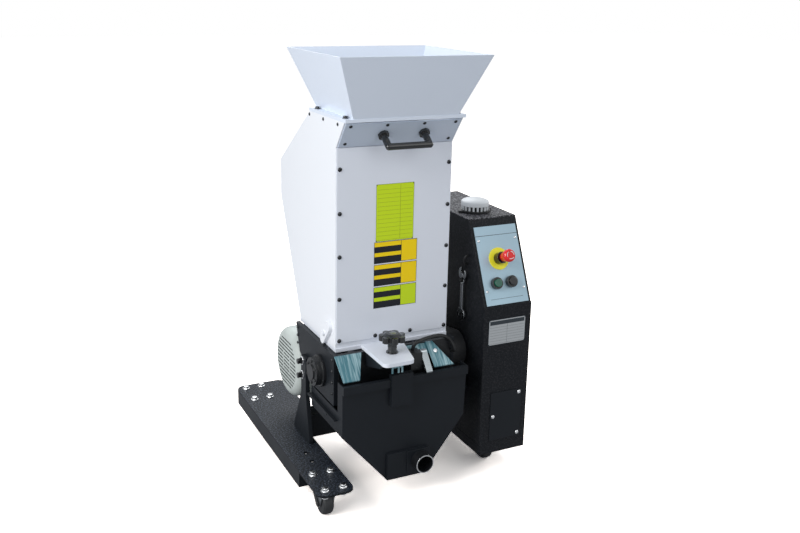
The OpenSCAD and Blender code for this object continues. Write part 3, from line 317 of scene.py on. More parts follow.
FINISHES = {
    # The level is just under each part's top, where the painted highlight falls
    "black_steel": wrinkle_coat("wrinkled_beam_coat_top_highlight", BLACK_COAT, BEAM_TOP_PAINTED_HIGHLIGHT,
                                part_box("beam_plate")[1].z - 1.5 * MM),
    "box_black": wrinkle_coat("wrinkled_box_coat_top_highlight", BLACK_COAT, BOX_TOP_PAINTED_HIGHLIGHT,
                              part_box("control_box")[1].z - 2.5 * MM),
    "black_sheet": sheet_black("smooth_black_coat", SHEET_BLACK),
    "blacked": enamel("blacked_steel", BLACKED_STEEL, 0.36),
    # Copies of the one white coat: painted light on the side copy, painted shade on the funnel and slope
    # copies
    "white_steel": smooth_coat("white_powder_coat", WHITE_COAT),
    "side_white_painted_light": smooth_coat("side_powder_coat_painted_light", SIDE_COAT_PAINTED_LIGHT),
    "funnel_white": smooth_coat("funnel_powder_coat_painted_shade", FUNNEL_COAT_PAINTED_SHADE),
    "slope_white_painted_shade": smooth_coat("slope_powder_coat_painted_shade", SLOPE_COAT_PAINTED_SHADE),
    "zinc": streaked_zinc("zinc_sheet", ZINC_BLUE, ZINC_PALE),
    "bolt_steel": polished("zinc_plated_bolts", BRIGHT_STEEL, 0.18),
    "screw_black": polished("black_screws", (0.06, 0.062, 0.066), 0.30),
    "tool_steel": brushed("ground_tool_steel", GROUND_STEEL, 0.28, (0.05, 1, 1)),
    "motor_green": enamel("motor_enamel", MOTOR_PAINT),
    "gear_black": enamel("gearbox_enamel", GEAR_PAINT),
    "black_plastic": moulded("moulded_black", MOULDED_BLACK),
    "gloss_black": moulded("gloss_black", MOULDED_BLACK, 0.16, 0.4),
    "cable_black": moulded("cable_sheath", SHEATH_BLACK, 0.42),
    "mark_white": moulded("mark_white", MARK_WHITE, 0.40),
    "yellow": moulded("disc_yellow", DISC_YELLOW, 0.34),
    "red": moulded("stop_red", STOP_RED, 0.24, 0.2),
    "green": moulded("start_green", START_GREEN, 0.22, 0.5),
    "chrome": polished("chromed", CHROME, 0.12),
    "lever_chrome": polished("chromed_lever", LEVER_CHROME, 0.16),
    "vent_white": moulded("cap_white", VENT_WHITE, 0.40),
    "caster_zinc": brushed("caster_zinc", CASTER_ZINC, 0.30, (1, 1, 0.1)),
    "wheel_rubber": rubber("wheel_tread", TREAD_GREY),
}

# Finish and edge radius in millimetres of each piece that keeps its CAD form
DRESS = {
    "side_beam": ("black_sheet", 0.6), "beam_plate": ("black_steel", 1.2),
    "cross_member": ("black_sheet", 1.2), "upright": ("black_sheet", 1.0),
    "chamber_sides": ("black_sheet", 0.8), "chamber_walls": ("blacked", 0.8),
    "chute_plates": ("zinc", 0.5), "lock_bracket": ("black_sheet", 0.7),
    "interlock_switch": ("black_plastic", 1.0), "bearing_housings": ("blacked", 1.0),
    "end_cap": ("blacked", 0.8), "fixed_knives": ("tool_steel", 0.0), "comb_bars": ("tool_steel", 0.0),
    "gearbox": ("gear_black", 3.0), "motor_body": ("motor_green", 0.6), "fan_cowl": ("motor_green", 0.4),
    "hinge_brackets": ("blacked", 0.5), "bin_rails": ("black_sheet", 0.6),
    "control_box": ("box_black", 1.6),
    "estop_ring": ("yellow", 0.4), "button_collars": ("gloss_black", 0.9),
    "service_hatch": ("black_sheet", 0.7), "wrench_hook": ("black_plastic", 0.4), "wrench": ("chrome", 1.4),
    "vent_base": ("black_plastic", 0.8), "vent_cap": ("vent_white", 0.4),
    "caster_plates": ("caster_zinc", 0.7), "rotor_shaft": ("tool_steel", 0.5),
    "rotor_cutters": ("tool_steel", 0.0), "cooling_fan": ("black_plastic", 0.3),
    "hopper_throat": ("white_steel", 1.4), "throat_sides": ("side_white_painted_light", 1.0),
    "front_cover": ("white_steel", 1.0), "sloped_panel": ("slope_white_painted_shade", 0.8),
    "pull_handle": ("gloss_black", 1.0), "feed_funnel": ("funnel_white", 1.0),
    "side_arms": ("side_white_painted_light", 1.5), "star_knob": ("gloss_black", 1.6),
    "bin_shell": ("black_sheet", 1.4), "outlet_plate": ("black_sheet", 0.6),
    "outlet_pipe": ("blacked", 0.3), "latch_lever": ("lever_chrome", 1.2),
    "estop_head": ("red", 1.2), "start_button": ("green", 1.0), "stop_button": ("gloss_black", 1.6),
    "brake_pedal_1": ("black_plastic", 0.7), "brake_pedal_3": ("black_plastic", 0.7),
}
for number in range(1, 5):
    DRESS[f"caster_fork_{number}"] = ("caster_zinc", 0.6)
    DRESS[f"caster_wheel_{number}"] = ("wheel_rubber", 1.0)

SHARP = math.radians(32)
SHADE_SPLIT = math.radians(52)


def body_of_node(node):
    for body, nodes in frame["record"]["behaviour"]["bodies"].items():
        if node in nodes:
            return body
    raise KeyError(node)


def merged(node):
    """A CAD node's mesh as one connected bmesh of flat faces."""
    bm = bmesh.new()
    bm.from_mesh(frame["nodes"][node].data)
    bmesh.ops.remove_doubles(bm, verts=bm.verts, dist=TINY)
    bmesh.ops.dissolve_degenerate(bm, dist=TINY, edges=bm.edges)
    return bm


def piece(name, bm, finish, body):
    """A new object from a bmesh, shaded smooth over its rounded edges."""
    mesh = bpy.data.meshes.new(name)
    bm.to_mesh(mesh)
    bm.free()
    mesh.shade_smooth()
    mesh.set_sharp_from_angle(angle=SHADE_SPLIT)
    made = bpy.data.objects.new(name, mesh)
    bpy.context.scene.collection.objects.link(made)
    mesh.materials.append(FINISHES[finish] if isinstance(finish, str) else finish)
    even = made.modifiers.new("even_shading", "WEIGHTED_NORMAL")
    even.keep_sharp = True
    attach(made, body)
    return made


# Rise of the control box's skirts in millimetres, and growth of the knob's lobes
SKIRT_RISE = 18
LOBE_GROWTH = 1.10


def short_skirts(bm):
    """Raises the skirts' lower edges, so that more of the casters shows."""
    low = min(v.co.z for v in bm.verts)
    for v in bm.verts:
        if v.co.z < low + MM:
            v.co.z += SKIRT_RISE * MM


def broad_lobes(bm):
    """Widens the knob's lobes about its stem."""
    low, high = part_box("star_knob")
    middle = (low + high) / 2
    for v in bm.verts:
        if v.co.z > middle.z:
            v.co.x = middle.x + (v.co.x - middle.x) * LOBE_GROWTH
            v.co.y = middle.y + (v.co.y - middle.y) * LOBE_GROWTH


RESHAPED = {"control_box": short_skirts, "star_knob": broad_lobes}


def softened(node, finish, radius):
    """A CAD node's form with its sharp edges rounded, in place of the node."""
    bm = merged(node)
    if node in RESHAPED:
        RESHAPED[node](bm)
    bmesh.ops.dissolve_limit(bm, angle_limit=math.radians(0.8), verts=bm.verts, edges=bm.edges)
    edges = [e for e in bm.edges if e.is_manifold and e.calc_face_angle() > SHARP]
    bmesh.ops.bevel(bm, geom=edges, offset=radius * MM, offset_type="OFFSET", segments=2,
                    profile=0.5, affect="EDGES", material=-1, clamp_overlap=True)
    made = piece(f"{node}_finished", bm, finish, body_of_node(node))
    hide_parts(node)
    return made


def repaint(node, finish):
    """A CAD node that keeps its mesh and gets its finish."""
    for slot in frame["nodes"][node].material_slots:
        slot.material = FINISHES[finish]


def islands(node):
    """The vertices' places of each separate solid in a CAD node."""
    bm = merged(node)
    left = set(bm.verts)
    groups = []
    while left:
        group, edge = set(), {left.pop()}
        while edge:
            group |= edge
            edge = {e.other_vert(v) for v in edge for e in v.link_edges} - group
        left -= group
        faces = {f for v in group for f in v.link_faces}
        largest = max(faces, key=lambda f: f.calc_area())
        groups.append(([v.co.copy() for v in group], largest.normal.copy()))
    bm.free()
    return groups


def heads(node, centre):
    """Foot, outward axis, radius and height of each screw in a node."""
    for points, normal in islands(node):
        middle = sum(points, Vector()) / len(points)
        axis = normal if normal.dot(middle - centre) > 0 else -normal
        reach = [(p - middle).dot(axis) for p in points]
        radius = max(((p - middle) - axis * (p - middle).dot(axis)).length for p in points)
        yield middle + axis * min(reach), axis, radius, max(reach) - min(reach)


def turned(profile, steps=24):
    """A form turned about Z from its radius and height points."""
    bm = bmesh.new()
    ring = [bm.verts.new((r, 0, z)) for r, z in profile]
    edges = [bm.edges.new(pair) for pair in zip(ring, ring[1:])]
    bmesh.ops.spin(bm, geom=ring + edges, cent=(0, 0, 0), axis=(0, 0, 1), angle=math.tau,
                   steps=steps, use_merge=True)
    bmesh.ops.remove_doubles(bm, verts=bm.verts, dist=TINY)
    bmesh.ops.recalc_face_normals(bm, faces=bm.faces)
    return bm


def socket_head(radius, height):
    """Low button head with a socket in its top."""
    socket = radius * 0.42
    sunk = height * 0.4
    dome = [(radius * math.cos(a), height * (0.25 + 0.75 * math.sin(a)))
            for a in (0.0, 0.45, 0.85, 1.1)]
    hollow = [(socket, height), (socket * 0.86, sunk), (0, sunk)]
    return turned([(0, 0), (radius, 0), *dome, *hollow], 18)


def hexagon_head(radius, height):
    """Hexagon bolt head with a chamfered top on its washer."""
    washer = height * 0.25
    hexagon = radius * 0.78
    rim = height * 0.9
    bm = turned([(0, 0), (radius, 0), (radius, washer * 0.8), (radius * 0.96, washer), (0, washer)], 20)
    made = bmesh.ops.create_cone(bm, cap_ends=True, segments=6, radius1=hexagon, radius2=hexagon,
                                 depth=height - washer,
                                 matrix=Matrix.Translation((0, 0, (height + washer) / 2)))
    top = [e for v in made["verts"] for e in v.link_edges if all(w.co.z > rim for w in e.verts)]
    bmesh.ops.bevel(bm, geom=list(set(top)), offset=radius * 0.10, segments=1, profile=0.5,
                    affect="EDGES", material=-1)
    return bm


def turned_mm(profile, steps=24):
    """A form turned about Z from radius and height points in millimetres."""
    return turned([(r * MM, z * MM) for r, z in profile], steps)


def facing(axis, place):
    """The move that sets a form made about Z at a place, turned to an axis."""
    turn = Vector((0, 0, 1)).rotation_difference(axis).to_matrix().to_4x4()
    return Matrix.Translation(place) @ turn


def moved(bm, matrix):
    bmesh.ops.transform(bm, matrix=matrix, verts=bm.verts)
    return bm


def joined(forms):
    """Several forms as one bmesh."""
    whole = bmesh.new()
    for bm in forms:
        part = bpy.data.meshes.new("part")
        bm.to_mesh(part)
        bm.free()
        whole.from_mesh(part)
        bpy.data.meshes.remove(part)
    return whole


def hatch_of_three(placed):
    """The hatch's heads as seen: two at its right corners and one half way up its left edge."""
    hatch = [head for head in placed if head[1].y < -0.9]
    middle = sum(head[0].x for head in hatch) / len(hatch)
    left = [head for head in hatch if head[0].x < middle]
    between = sum((head[0] for head in left), Vector()) / len(left)
    kept = [head for head in placed if head not in left]
    return kept + [(between, *left[0][1:])]


def fasteners(node, name, finish, centre, arranged=list):
    """Detailed heads in place of a node's plain ones: hexagons upward, sockets elsewhere."""
    forms = []
    for foot, axis, radius, height in arranged(list(heads(node, centre))):
        upright = axis.z > 0.99
        head = hexagon_head(radius, height) if upright else socket_head(radius, height)
        forms.append(moved(head, facing(axis, foot)))
    made = piece(name, joined(forms), finish, body_of_node(node))
    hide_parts(node)


def slab(low, high, radius):
    """A thin plate with rounded edges."""
    bm = bmesh.new()
    bmesh.ops.create_cube(bm, size=1.0, matrix=Matrix.Translation((low + high) / 2)
                          @ Matrix.Diagonal((*(high - low), 1.0)))
    bmesh.ops.bevel(bm, geom=bm.edges[:], offset=radius, offset_type="OFFSET", segments=2, profile=0.5,
                    affect="EDGES", material=-1, clamp_overlap=True)
    return bm


def either(f, first, second):
    return f.add("ShaderNodeMath", {"operation": "MAXIMUM"}, {0: first, 1: second})


def line(value, place, width):
    """Mask of a line at a place along one axis."""
    return abs(value - place) < width / 2


def ruled_film(name, low, high, rows, colours, column, header=0.0, metal=0.0):
    """Film with a border, blank ruled rows, one column line and perhaps a dark header band."""
    field, ink_colour = colours
    f = Finish(name, field, 0.42, metallic=metal, gloss=0.3)
    x, _, z = f.axes()
    middle = (low + high) / 2
    half = (high - low) / 2
    edge = 3.5 * MM
    stroke = 0.9 * MM
    top = high.z - edge - header
    pitch = (top - low.z - edge) / rows
    across = abs(x - middle.x)
    up = abs(z - middle.z)
    outside = either(f, across > half.x - edge, up > half.z - edge)
    border = either(f, across > half.x - stroke, up > half.z - stroke)
    row_line = ((z - low.z - edge) % pitch) < stroke * 0.7
    column_line = line(x, low.x + half.x * 2 * column, stroke)
    grid = either(f, row_line, column_line) * (1 - outside) * (z < top)
    corner = (across + up) > half.x + half.z - edge * 1.6
    ink = either(f, either(f, grid * 0.75, border), corner)
    if header:
        ink = either(f, ink, (z > top) * (1 - outside))
    f.put("Base Color", f.mix(ink, field, ink_colour))
    f.put("Roughness", 0.34 + 0.16 * f.noise(240, 2.0))
    return f.material


def banded_film(name, low, high, panel):
    """Bare film: dark and pale bands at its left, a pale panel at its right."""
    f = Finish(name, panel, 0.42, gloss=0.3)
    x, _, z = f.axes()
    half = (high - low) / 2
    split = low.x + half.x * 2 * 0.63
    share = (z - low.z) * (1 / (2 * half.z))
    first_band = (share > 0.50) * (share < 0.78)
    second_band = share < 0.32
    dark = either(f, first_band, second_band) * (x < split)
    stroke = 1.1 * MM
    rim = either(f, abs(x - (low.x + high.x) / 2) > half.x - stroke,
                 abs(z - (low.z + high.z) / 2) > half.z - stroke)
    ink = either(f, either(f, dark, line(x, split, stroke)), rim)
    f.put("Base Color", f.mix(ink, panel, FILM_BLACK))
    f.put("Roughness", 0.34 + 0.16 * f.noise(240, 2.0))
    return f.material


# Films on the front cover, in millimetres from its middle and its top edge
FILM_T = 0.4
RULED_W, RULED_H, RULED_DROP = 104, 146, 96
NOTICE_W, NOTICE_H, NOTICE_GAP, NOTICE_SHIFT = 120, 56, 3, 4


def label_films():
    """The ruled film and the three banded films on the front cover."""
    low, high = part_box("front_cover")
    middle_x = (low.x + high.x) / 2
    face = low.y

    def film(name, centre_x, top_z, width, height, finish):
        a = Vector((centre_x - width / 2 * MM, face - FILM_T * MM, top_z - height * MM))
        b = Vector((centre_x + width / 2 * MM, face, top_z))
        piece(name, slab(a, b, 0.15 * MM), finish(a, b), "hopper")

    top = high.z - RULED_DROP * MM
    film("ruled_film", middle_x, top, RULED_W, RULED_H,
         lambda a, b: ruled_film("lime_film", a, b, 13, (FILM_LIME, FILM_LIME_INK), 0.64))
    for i in range(3):
        film(f"notice_film_{i + 1}", middle_x + NOTICE_SHIFT * MM,
             top - (RULED_H + i * (NOTICE_H + NOTICE_GAP)) * MM - MM, NOTICE_W, NOTICE_H,
             lambda a, b: banded_film(f"banded_film_{i + 1}", a, b, FILM_YELLOW if i < 2 else FILM_LIME))


def nameplate():
    """Bare ruled plate with a dark header under the slope of the control box."""
    low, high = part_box("nameplate")
    film = ruled_film("ruled_nameplate", low, high, 7, (SILVER, PANEL_INK), 0.5, 11 * MM, 0.4)
    made = piece("bare_nameplate", slab(low, high, 0.3 * MM), film, "frame")
    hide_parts("nameplate")


def slope_frame():
    """Middle of the control plate's face, the way up the slope and the way out of it."""
    low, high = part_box("control_plate")
    thickness = 2 * MM
    rise = high - low
    tilt = math.atan2(rise.z, rise.y)
    for _ in range(4):
        tilt = math.atan2(rise.z - thickness * math.cos(tilt), rise.y - thickness * math.sin(tilt))
    up = Vector((0, math.cos(tilt), math.sin(tilt)))
    out = Vector((0, -math.sin(tilt), math.cos(tilt)))
    return (low + high) / 2 + out * thickness / 2, up, out


# Lines on the control plate, in millimetres from its upper and lower edges
HEADER_DROP, HEADER_STROKE = 23, 1.3
FOOT_RISE, FOOT_STROKE, FOOT_HALF = 15, 0.9, 50


def control_plate():
    """Light blue plate with a header line and a foot line, in place of the CAD plate."""
    low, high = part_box("control_plate")
    f = Finish("anodised_control_plate", PANEL_BLUE, 0.36, metallic=0.25)
    x, _, z = f.axes()
    header = line(z, high.z - HEADER_DROP * MM, HEADER_STROKE * MM)
    foot = line(z, low.z + FOOT_RISE * MM, FOOT_STROKE * MM)
    within = abs(x - (low.x + high.x) / 2) < FOOT_HALF * MM
    ink = either(f, header, foot * within)
    cloud = f.noise(9, 2.0)
    paler = tuple(c * 1.18 for c in PANEL_BLUE)
    f.put("Base Color", f.mix(ink, f.mix(cloud, PANEL_BLUE, paler), PANEL_INK))
    f.put("Roughness", 0.30 + 0.14 * f.noise(900, 2.0, (1, 1, 0.03)))
    made = piece("control_plate_finished", merged("control_plate"), f.material, "frame")
    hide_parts("control_plate")


def on_slope(bm, across, along, lift):
    """Sets a form made about Z on the slope, at millimetres from the control plate's middle."""
    middle, up, out = slope_frame()
    turn = Matrix((Vector((1, 0, 0)), up, out)).transposed().to_4x4()
    place = middle + Vector((across * MM, 0, 0)) + up * along * MM + out * lift * MM
    return moved(bm, Matrix.Translation(place) @ turn)


# The control plate's screws in millimetres: radius, height and distances from its middle
PLATE_SCREW_R, PLATE_SCREW_H = 3.6, 1.8
PLATE_SCREW_X, PLATE_SCREW_Y = 57, 68


def panel_screws():
    """Four small pan heads that hold the control plate."""
    forms = [on_slope(socket_head(PLATE_SCREW_R * MM, PLATE_SCREW_H * MM), x, y, 0)
             for x in (-PLATE_SCREW_X, PLATE_SCREW_X) for y in (-PLATE_SCREW_Y, PLATE_SCREW_Y)]
    piece("control_plate_screws", joined(forms), "bolt_steel", "frame")


# Ring segments in the stop's face: radii and half thickness in millimetres, sweep in degrees
MARKS = 3
MARK_INNER, MARK_OUTER, MARK_HALF_T = 9.2, 10.8, 0.25
MARK_SWEEP = 78


def stop_marks():
    """Pale ring segments inlaid in the face of the emergency stop."""
    middle, up, out = slope_frame()
    low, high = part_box("estop_ring")
    shift = (low + high) / 2 - middle
    across, along = shift.x / MM, shift.dot(up) / MM
    points = [v.co for v in frame["nodes"]["estop_head"].data.vertices]
    reach = max((p - middle).dot(out) for p in points) / MM
    forms = []
    for k in range(MARKS):
        bm = bmesh.new()
        corners = [(MARK_INNER, -MARK_HALF_T), (MARK_OUTER, -MARK_HALF_T),
                   (MARK_OUTER, MARK_HALF_T), (MARK_INNER, MARK_HALF_T)]
        face = bm.faces.new([bm.verts.new((r * MM, 0, z * MM)) for r, z in corners])
        bmesh.ops.spin(bm, geom=[face], cent=(0, 0, 0), axis=(0, 0, 1),
                       angle=math.radians(MARK_SWEEP), steps=14)
        bmesh.ops.recalc_face_normals(bm, faces=bm.faces)
        moved(bm, Matrix.Rotation(math.tau * k / MARKS, 4, "Z"))
        forms.append(on_slope(bm, across, along, reach))
    piece("stop_face_marks", joined(forms), "mark_white", "estop")


# The knob's bush and insert in millimetres; the tab is the hopper's, under the knob
TAB_DEPTH = 10
BUSH_BORE, BUSH_FOOT, BUSH_TOP = 9, 0.3, 7
WASHER_REACH, WASHER_TOP = 5, 2.4
STEM_LOW, STEM_HIGH = 0.5, 8
INSERT_R, INSERT_SUNK = 8.5, 0.2


def clamp_bush():
    """Steel washer, bush and top insert of the star knob."""
    low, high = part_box("star_knob")
    centre = (low + high) / 2
    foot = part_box("hopper_throat")[0].z + TAB_DEPTH * MM
    stem = [v.co for v in frame["nodes"]["star_knob"].data.vertices
            if STEM_LOW * MM < v.co.z - foot < STEM_HIGH * MM]
    neck = max(math.hypot(p.x - centre.x, p.y - centre.y) for p in stem) / MM
    bush = turned_mm([(BUSH_BORE, BUSH_FOOT), (neck + WASHER_REACH, BUSH_FOOT),
                      (neck + WASHER_REACH, WASHER_TOP), (neck + 0.8, WASHER_TOP + 0.8),
                      (neck + 0.5, BUSH_TOP), (BUSH_BORE, BUSH_TOP), (BUSH_BORE, BUSH_FOOT)], 32)
    moved(bush, Matrix.Translation((centre.x, centre.y, foot)))
    insert = turned_mm([(0, 0), (INSERT_R, 0), (INSERT_R, 0.5), (INSERT_R - 1, 1.1), (0, 1.3)])
    moved(insert, Matrix.Translation((centre.x, centre.y, high.z - INSERT_SUNK * MM)))
    piece("knob_bush", joined([bush, insert]), "tool_steel", "knob")


# The outlet's rim in millimetres: its wall, its length and its start from the pipe's end
OUTLET_RIM_T, OUTLET_RIM_L, OUTLET_RIM_START = 2.6, 2.5, 2.4


def outlet_rim():
    """Turned bright rim on the outlet's open end."""
    low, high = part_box("outlet_pipe")
    r = (high.x - low.x) / 2 / MM
    rim = turned_mm([(r - OUTLET_RIM_T, 0), (r - 0.1, 0), (r, 0.3), (r, OUTLET_RIM_L - 0.3),
                     (r - 0.2, OUTLET_RIM_L), (r - OUTLET_RIM_T, OUTLET_RIM_L),
                     (r - OUTLET_RIM_T, 0)], 48)
    place = Vector(((low.x + high.x) / 2, low.y + OUTLET_RIM_START * MM, (low.z + high.z) / 2))
    moved(rim, Matrix.Translation(place) @ Matrix.Rotation(math.radians(90), 4, "X"))
    piece("outlet_bright_rim", rim, "bolt_steel", "bin")


# Small bolts of the chamber's side plates in millimetres: insets, and depths under its top
SIDE_BOLT_R, SIDE_BOLT_H = 4.2, 3.4
REAR_INSET, REAR_DEPTHS = 16, (12, 34, 56)
FRONT_INSET, FRONT_DEPTHS = 10, (14, 44, 74, 104)


def side_plate_bolts():
    """Small heads down the rear and front edges of the chamber's side plates."""
    low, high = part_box("chamber_sides")
    forms = []
    for sign, face in ((-1, low.x), (1, high.x)):
        turn = Matrix.Rotation(math.radians(90 * sign), 4, "Y")
        for y, depths in ((high.y - REAR_INSET * MM, REAR_DEPTHS), (low.y + FRONT_INSET * MM, FRONT_DEPTHS)):
            for depth in depths:
                bm = socket_head(SIDE_BOLT_R * MM, SIDE_BOLT_H * MM)
                forms.append(moved(bm, Matrix.Translation((face, y, high.z - depth * MM)) @ turn))
    piece("side_plate_bolts", joined(forms), "screw_black", "frame")


# The upright's bolts in millimetres: head, washer, and depths under the upright's top
UPRIGHT_BOLT_R, UPRIGHT_BOLT_H, UPRIGHT_BOLT_DEPTHS = 10, 15, (14, 54)
UPRIGHT_WASHER_R, UPRIGHT_WASHER_T = 12, 2.6
UPRIGHT_HEAD = 40


def upright_bolts():
    """Two long bolts with bright washers through the head of the left upright."""
    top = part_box("upright")[1].z
    head = [v.co for v in frame["nodes"]["upright"].data.vertices if v.co.z > top - UPRIGHT_HEAD * MM]
    middle_y = (min(p.y for p in head) + max(p.y for p in head)) / 2
    outer_x = min(p.x for p in head)
    turn = Matrix.Rotation(math.radians(-90), 4, "Y")
    r, t = UPRIGHT_WASHER_R, UPRIGHT_WASHER_T
    bolts, washers = [], []
    for depth in UPRIGHT_BOLT_DEPTHS:
        place = Matrix.Translation((outer_x, middle_y, top - depth * MM)) @ turn
        bolts.append(moved(hexagon_head(UPRIGHT_BOLT_R * MM, UPRIGHT_BOLT_H * MM), place))
        washer = turned_mm([(0, 0), (r, 0), (r, t - 0.6), (r - 0.6, t), (0, t)], 28)
        washers.append(moved(washer, place))
    piece("upright_bolts", joined(bolts), "gloss_black", "frame")
    piece("upright_washers", joined(washers), "bolt_steel", "frame")


# The catch in millimetres, from the lock bracket's left end, front face and top edge
CATCH_BACK = 1.0
CATCH_POSTS, CATCH_POST_W, CATCH_POST_FRONT, CATCH_POST_LOW, CATCH_POST_TOP = (30, 47, 57), 5, 2.2, 30, 9
CATCH_BAR_X, CATCH_BAR_FRONT, CATCH_BAR_LOW, CATCH_BAR_TOP = (34, 58), 1.6, 16, 11


def lock_clasp():
    """Bright catch under the hopper's tab, on the front of the lock bracket."""
    low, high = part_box("lock_bracket")

    def bar(left, right, front, foot, top, radius):
        a = Vector((low.x + left * MM, low.y - front * MM, high.z - foot * MM))
        b = Vector((low.x + right * MM, low.y + CATCH_BACK * MM, high.z - top * MM))
        return slab(a, b, radius * MM)

    forms = [bar(x, x + CATCH_POST_W, CATCH_POST_FRONT, CATCH_POST_LOW, CATCH_POST_TOP, 1.0)
             for x in CATCH_POSTS]
    forms.append(bar(*CATCH_BAR_X, CATCH_BAR_FRONT, CATCH_BAR_LOW, CATCH_BAR_TOP, 0.8))
    piece("lock_clasp", joined(forms), "zinc", "frame")


def chute_point(across, depth):
    """A point on the chutes' slope, at millimetres from the hopper's middle and below their top."""
    low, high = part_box("chute_plates")
    share = depth * MM / (high.z - low.z)
    return Vector(((across + DATUM.x) * MM, high.y + (low.y - high.y) * share, high.z - depth * MM))


# The sheet behind the cable: corners across and down the chutes' slope, and its depth under it
REAR_CHUTE_CORNERS = ((22, 2), (96, 2), (92, 24), (40, 24))
REAR_CHUTE_UNDER, REAR_CHUTE_T = 1.2, 1.2
CHUTE_BOLT_R, CHUTE_BOLT_H, CHUTE_BOLT_AT = 8, 5, (104, 22)


def rear_chute():
    """The zinc sheet that runs on behind the cable, and a bolt in the right-hand chute."""
    corners = [chute_point(across, depth) for across, depth in REAR_CHUTE_CORNERS]
    slope = chute_point(0, 0) - chute_point(0, 20)
    out = slope.cross(Vector((1, 0, 0))).normalized()
    if out.z < 0:
        out = -out
    bm = bmesh.new()
    base = [bm.verts.new(c - out * (REAR_CHUTE_UNDER + REAR_CHUTE_T) * MM) for c in corners]
    top = [bm.verts.new(c - out * REAR_CHUTE_UNDER * MM) for c in corners]
    bm.faces.new(base)
    bm.faces.new(top)
    for i in range(len(corners)):
        bm.faces.new((base[i], base[i - 1], top[i - 1], top[i]))
    bmesh.ops.recalc_face_normals(bm, faces=bm.faces)
    piece("rear_chute_sheet", bm, "zinc", "frame")
    bolt = moved(hexagon_head(CHUTE_BOLT_R * MM, CHUTE_BOLT_H * MM), facing(out, chute_point(*CHUTE_BOLT_AT)))
    piece("chute_bolt", bolt, "bolt_steel", "frame")


# Small hopper screws in millimetres: head, places across the sloped panel, and on each side panel
SLOPE_SCREW_R, SLOPE_SCREW_H = 4.4, 2.4
SLOPE_TOP_INSET, SLOPE_TOP_X = 8, (-140, -45, 54, 140)
SLOPE_FOOT_INSET, SLOPE_FOOT_X = 9, (-140, 140)
SIDE_SCREW_INSET, SIDE_SCREW_Y = 9, (-10, 82, 176)


def slope_screws():
    """Screws round the hopper's sloped panel, and three along the top of each side panel."""
    points, normal = islands("sloped_panel")[0]
    out = -normal if normal.y > 0 else normal
    reach = max(p.dot(out) for p in points)
    low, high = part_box("sloped_panel")
    rows = ((high.z - SLOPE_TOP_INSET * MM, SLOPE_TOP_X), (low.z + SLOPE_FOOT_INSET * MM, SLOPE_FOOT_X))
    forms = []
    for z, row in rows:
        for across in row:
            x = (across + DATUM.x) * MM
            place = Vector((x, (reach - out.z * z - out.x * x) / out.y, z))
            bm = socket_head(SLOPE_SCREW_R * MM, SLOPE_SCREW_H * MM)
            forms.append(moved(bm, facing(out, place)))
    low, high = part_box("throat_sides")
    for sign, face in ((-1, low.x), (1, high.x)):
        turn = Matrix.Rotation(math.radians(90 * sign), 4, "Y")
        for y in SIDE_SCREW_Y:
            place = Vector((face, (y + DATUM.y) * MM, high.z - SIDE_SCREW_INSET * MM))
            bm = socket_head(SLOPE_SCREW_R * MM, SLOPE_SCREW_H * MM)
            forms.append(moved(bm, Matrix.Translation(place) @ turn))
    piece("slope_screws", joined(forms), "screw_black", "hopper")


# Route of the interlock's cable in millimetres from the hopper's datum, as in the part
CABLE = [
    (40, -38, 397), (40, -38, 405), (43, -40, 413), (51, -42, 419), (64, -42, 423),
    (80, -40, 425), (98, -38, 426), (116, -36, 425), (132, -34, 421), (146, -32, 413),
    (156, -32, 402), (162, -35, 390), (165, -36, 379), (166, -32, 372), (166, -26, 371),
    (166, -20, 371),
]
CABLE_RADIUS = 5 * MM


def interlock_cable():
    """Smooth round sheath along the cable's route."""
    curve = bpy.data.curves.new("interlock_cable", "CURVE")
    curve.dimensions = "3D"
    curve.bevel_depth = CABLE_RADIUS * 0.96
    curve.bevel_resolution = 5
    curve.resolution_u = 6
    curve.use_fill_caps = True
    spline = curve.splines.new("NURBS")
    spline.points.add(len(CABLE) - 1)
    for point, place in zip(spline.points, CABLE):
        point.co = (*((Vector(place) + DATUM) * MM), 1.0)
    spline.order_u = 4
    spline.use_endpoint_u = True
    curve.materials.append(FINISHES["cable_black"])
    made = bpy.data.objects.new("interlock_cable", curve)
    bpy.context.scene.collection.objects.link(made)
    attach(made, "frame")
    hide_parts("switch_cable")


def camera():
    """The photograph's view."""
    ahead = Vector((math.sin(CAMERA_YAW) * math.cos(CAMERA_PITCH),
                    math.cos(CAMERA_YAW) * math.cos(CAMERA_PITCH), math.sin(CAMERA_PITCH)))
    right = ahead.cross(Vector((0, 0, 1))).normalized()
    up = right.cross(ahead)
    rolled_right = right * math.cos(CAMERA_ROLL) + up * math.sin(CAMERA_ROLL)
    rolled_up = up * math.cos(CAMERA_ROLL) - right * math.sin(CAMERA_ROLL)
    lens = bpy.data.cameras.new("photo_camera")
    lens.lens = CAMERA_LENS
    lens.sensor_width = SENSOR_WIDTH
    lens.sensor_fit = "HORIZONTAL"
    lens.shift_y = -PRINCIPAL_RISE / PHOTO_WIDTH
    made = bpy.data.objects.new("photo_camera", lens)
    turn = Matrix((rolled_right, rolled_up, -ahead)).transposed().to_4x4()
    made.matrix_world = Matrix.Translation(CAMERA_PLACE) @ turn
    bpy.context.scene.collection.objects.link(made)
    bpy.context.scene.camera = made


def softbox(name, place, aim, size, watts, colour=(1, 1, 1)):
    """A square studio light that faces a point."""
    lamp = bpy.data.lights.new(name, "AREA")
    lamp.shape = "SQUARE"
    lamp.size = size
    lamp.energy = watts
    lamp.color = colour
    made = bpy.data.objects.new(name, lamp)
    made.location = place
    made.rotation_euler = (Vector(aim) - Vector(place)).to_track_quat("-Z", "Y").to_euler()
    bpy.context.scene.collection.objects.link(made)


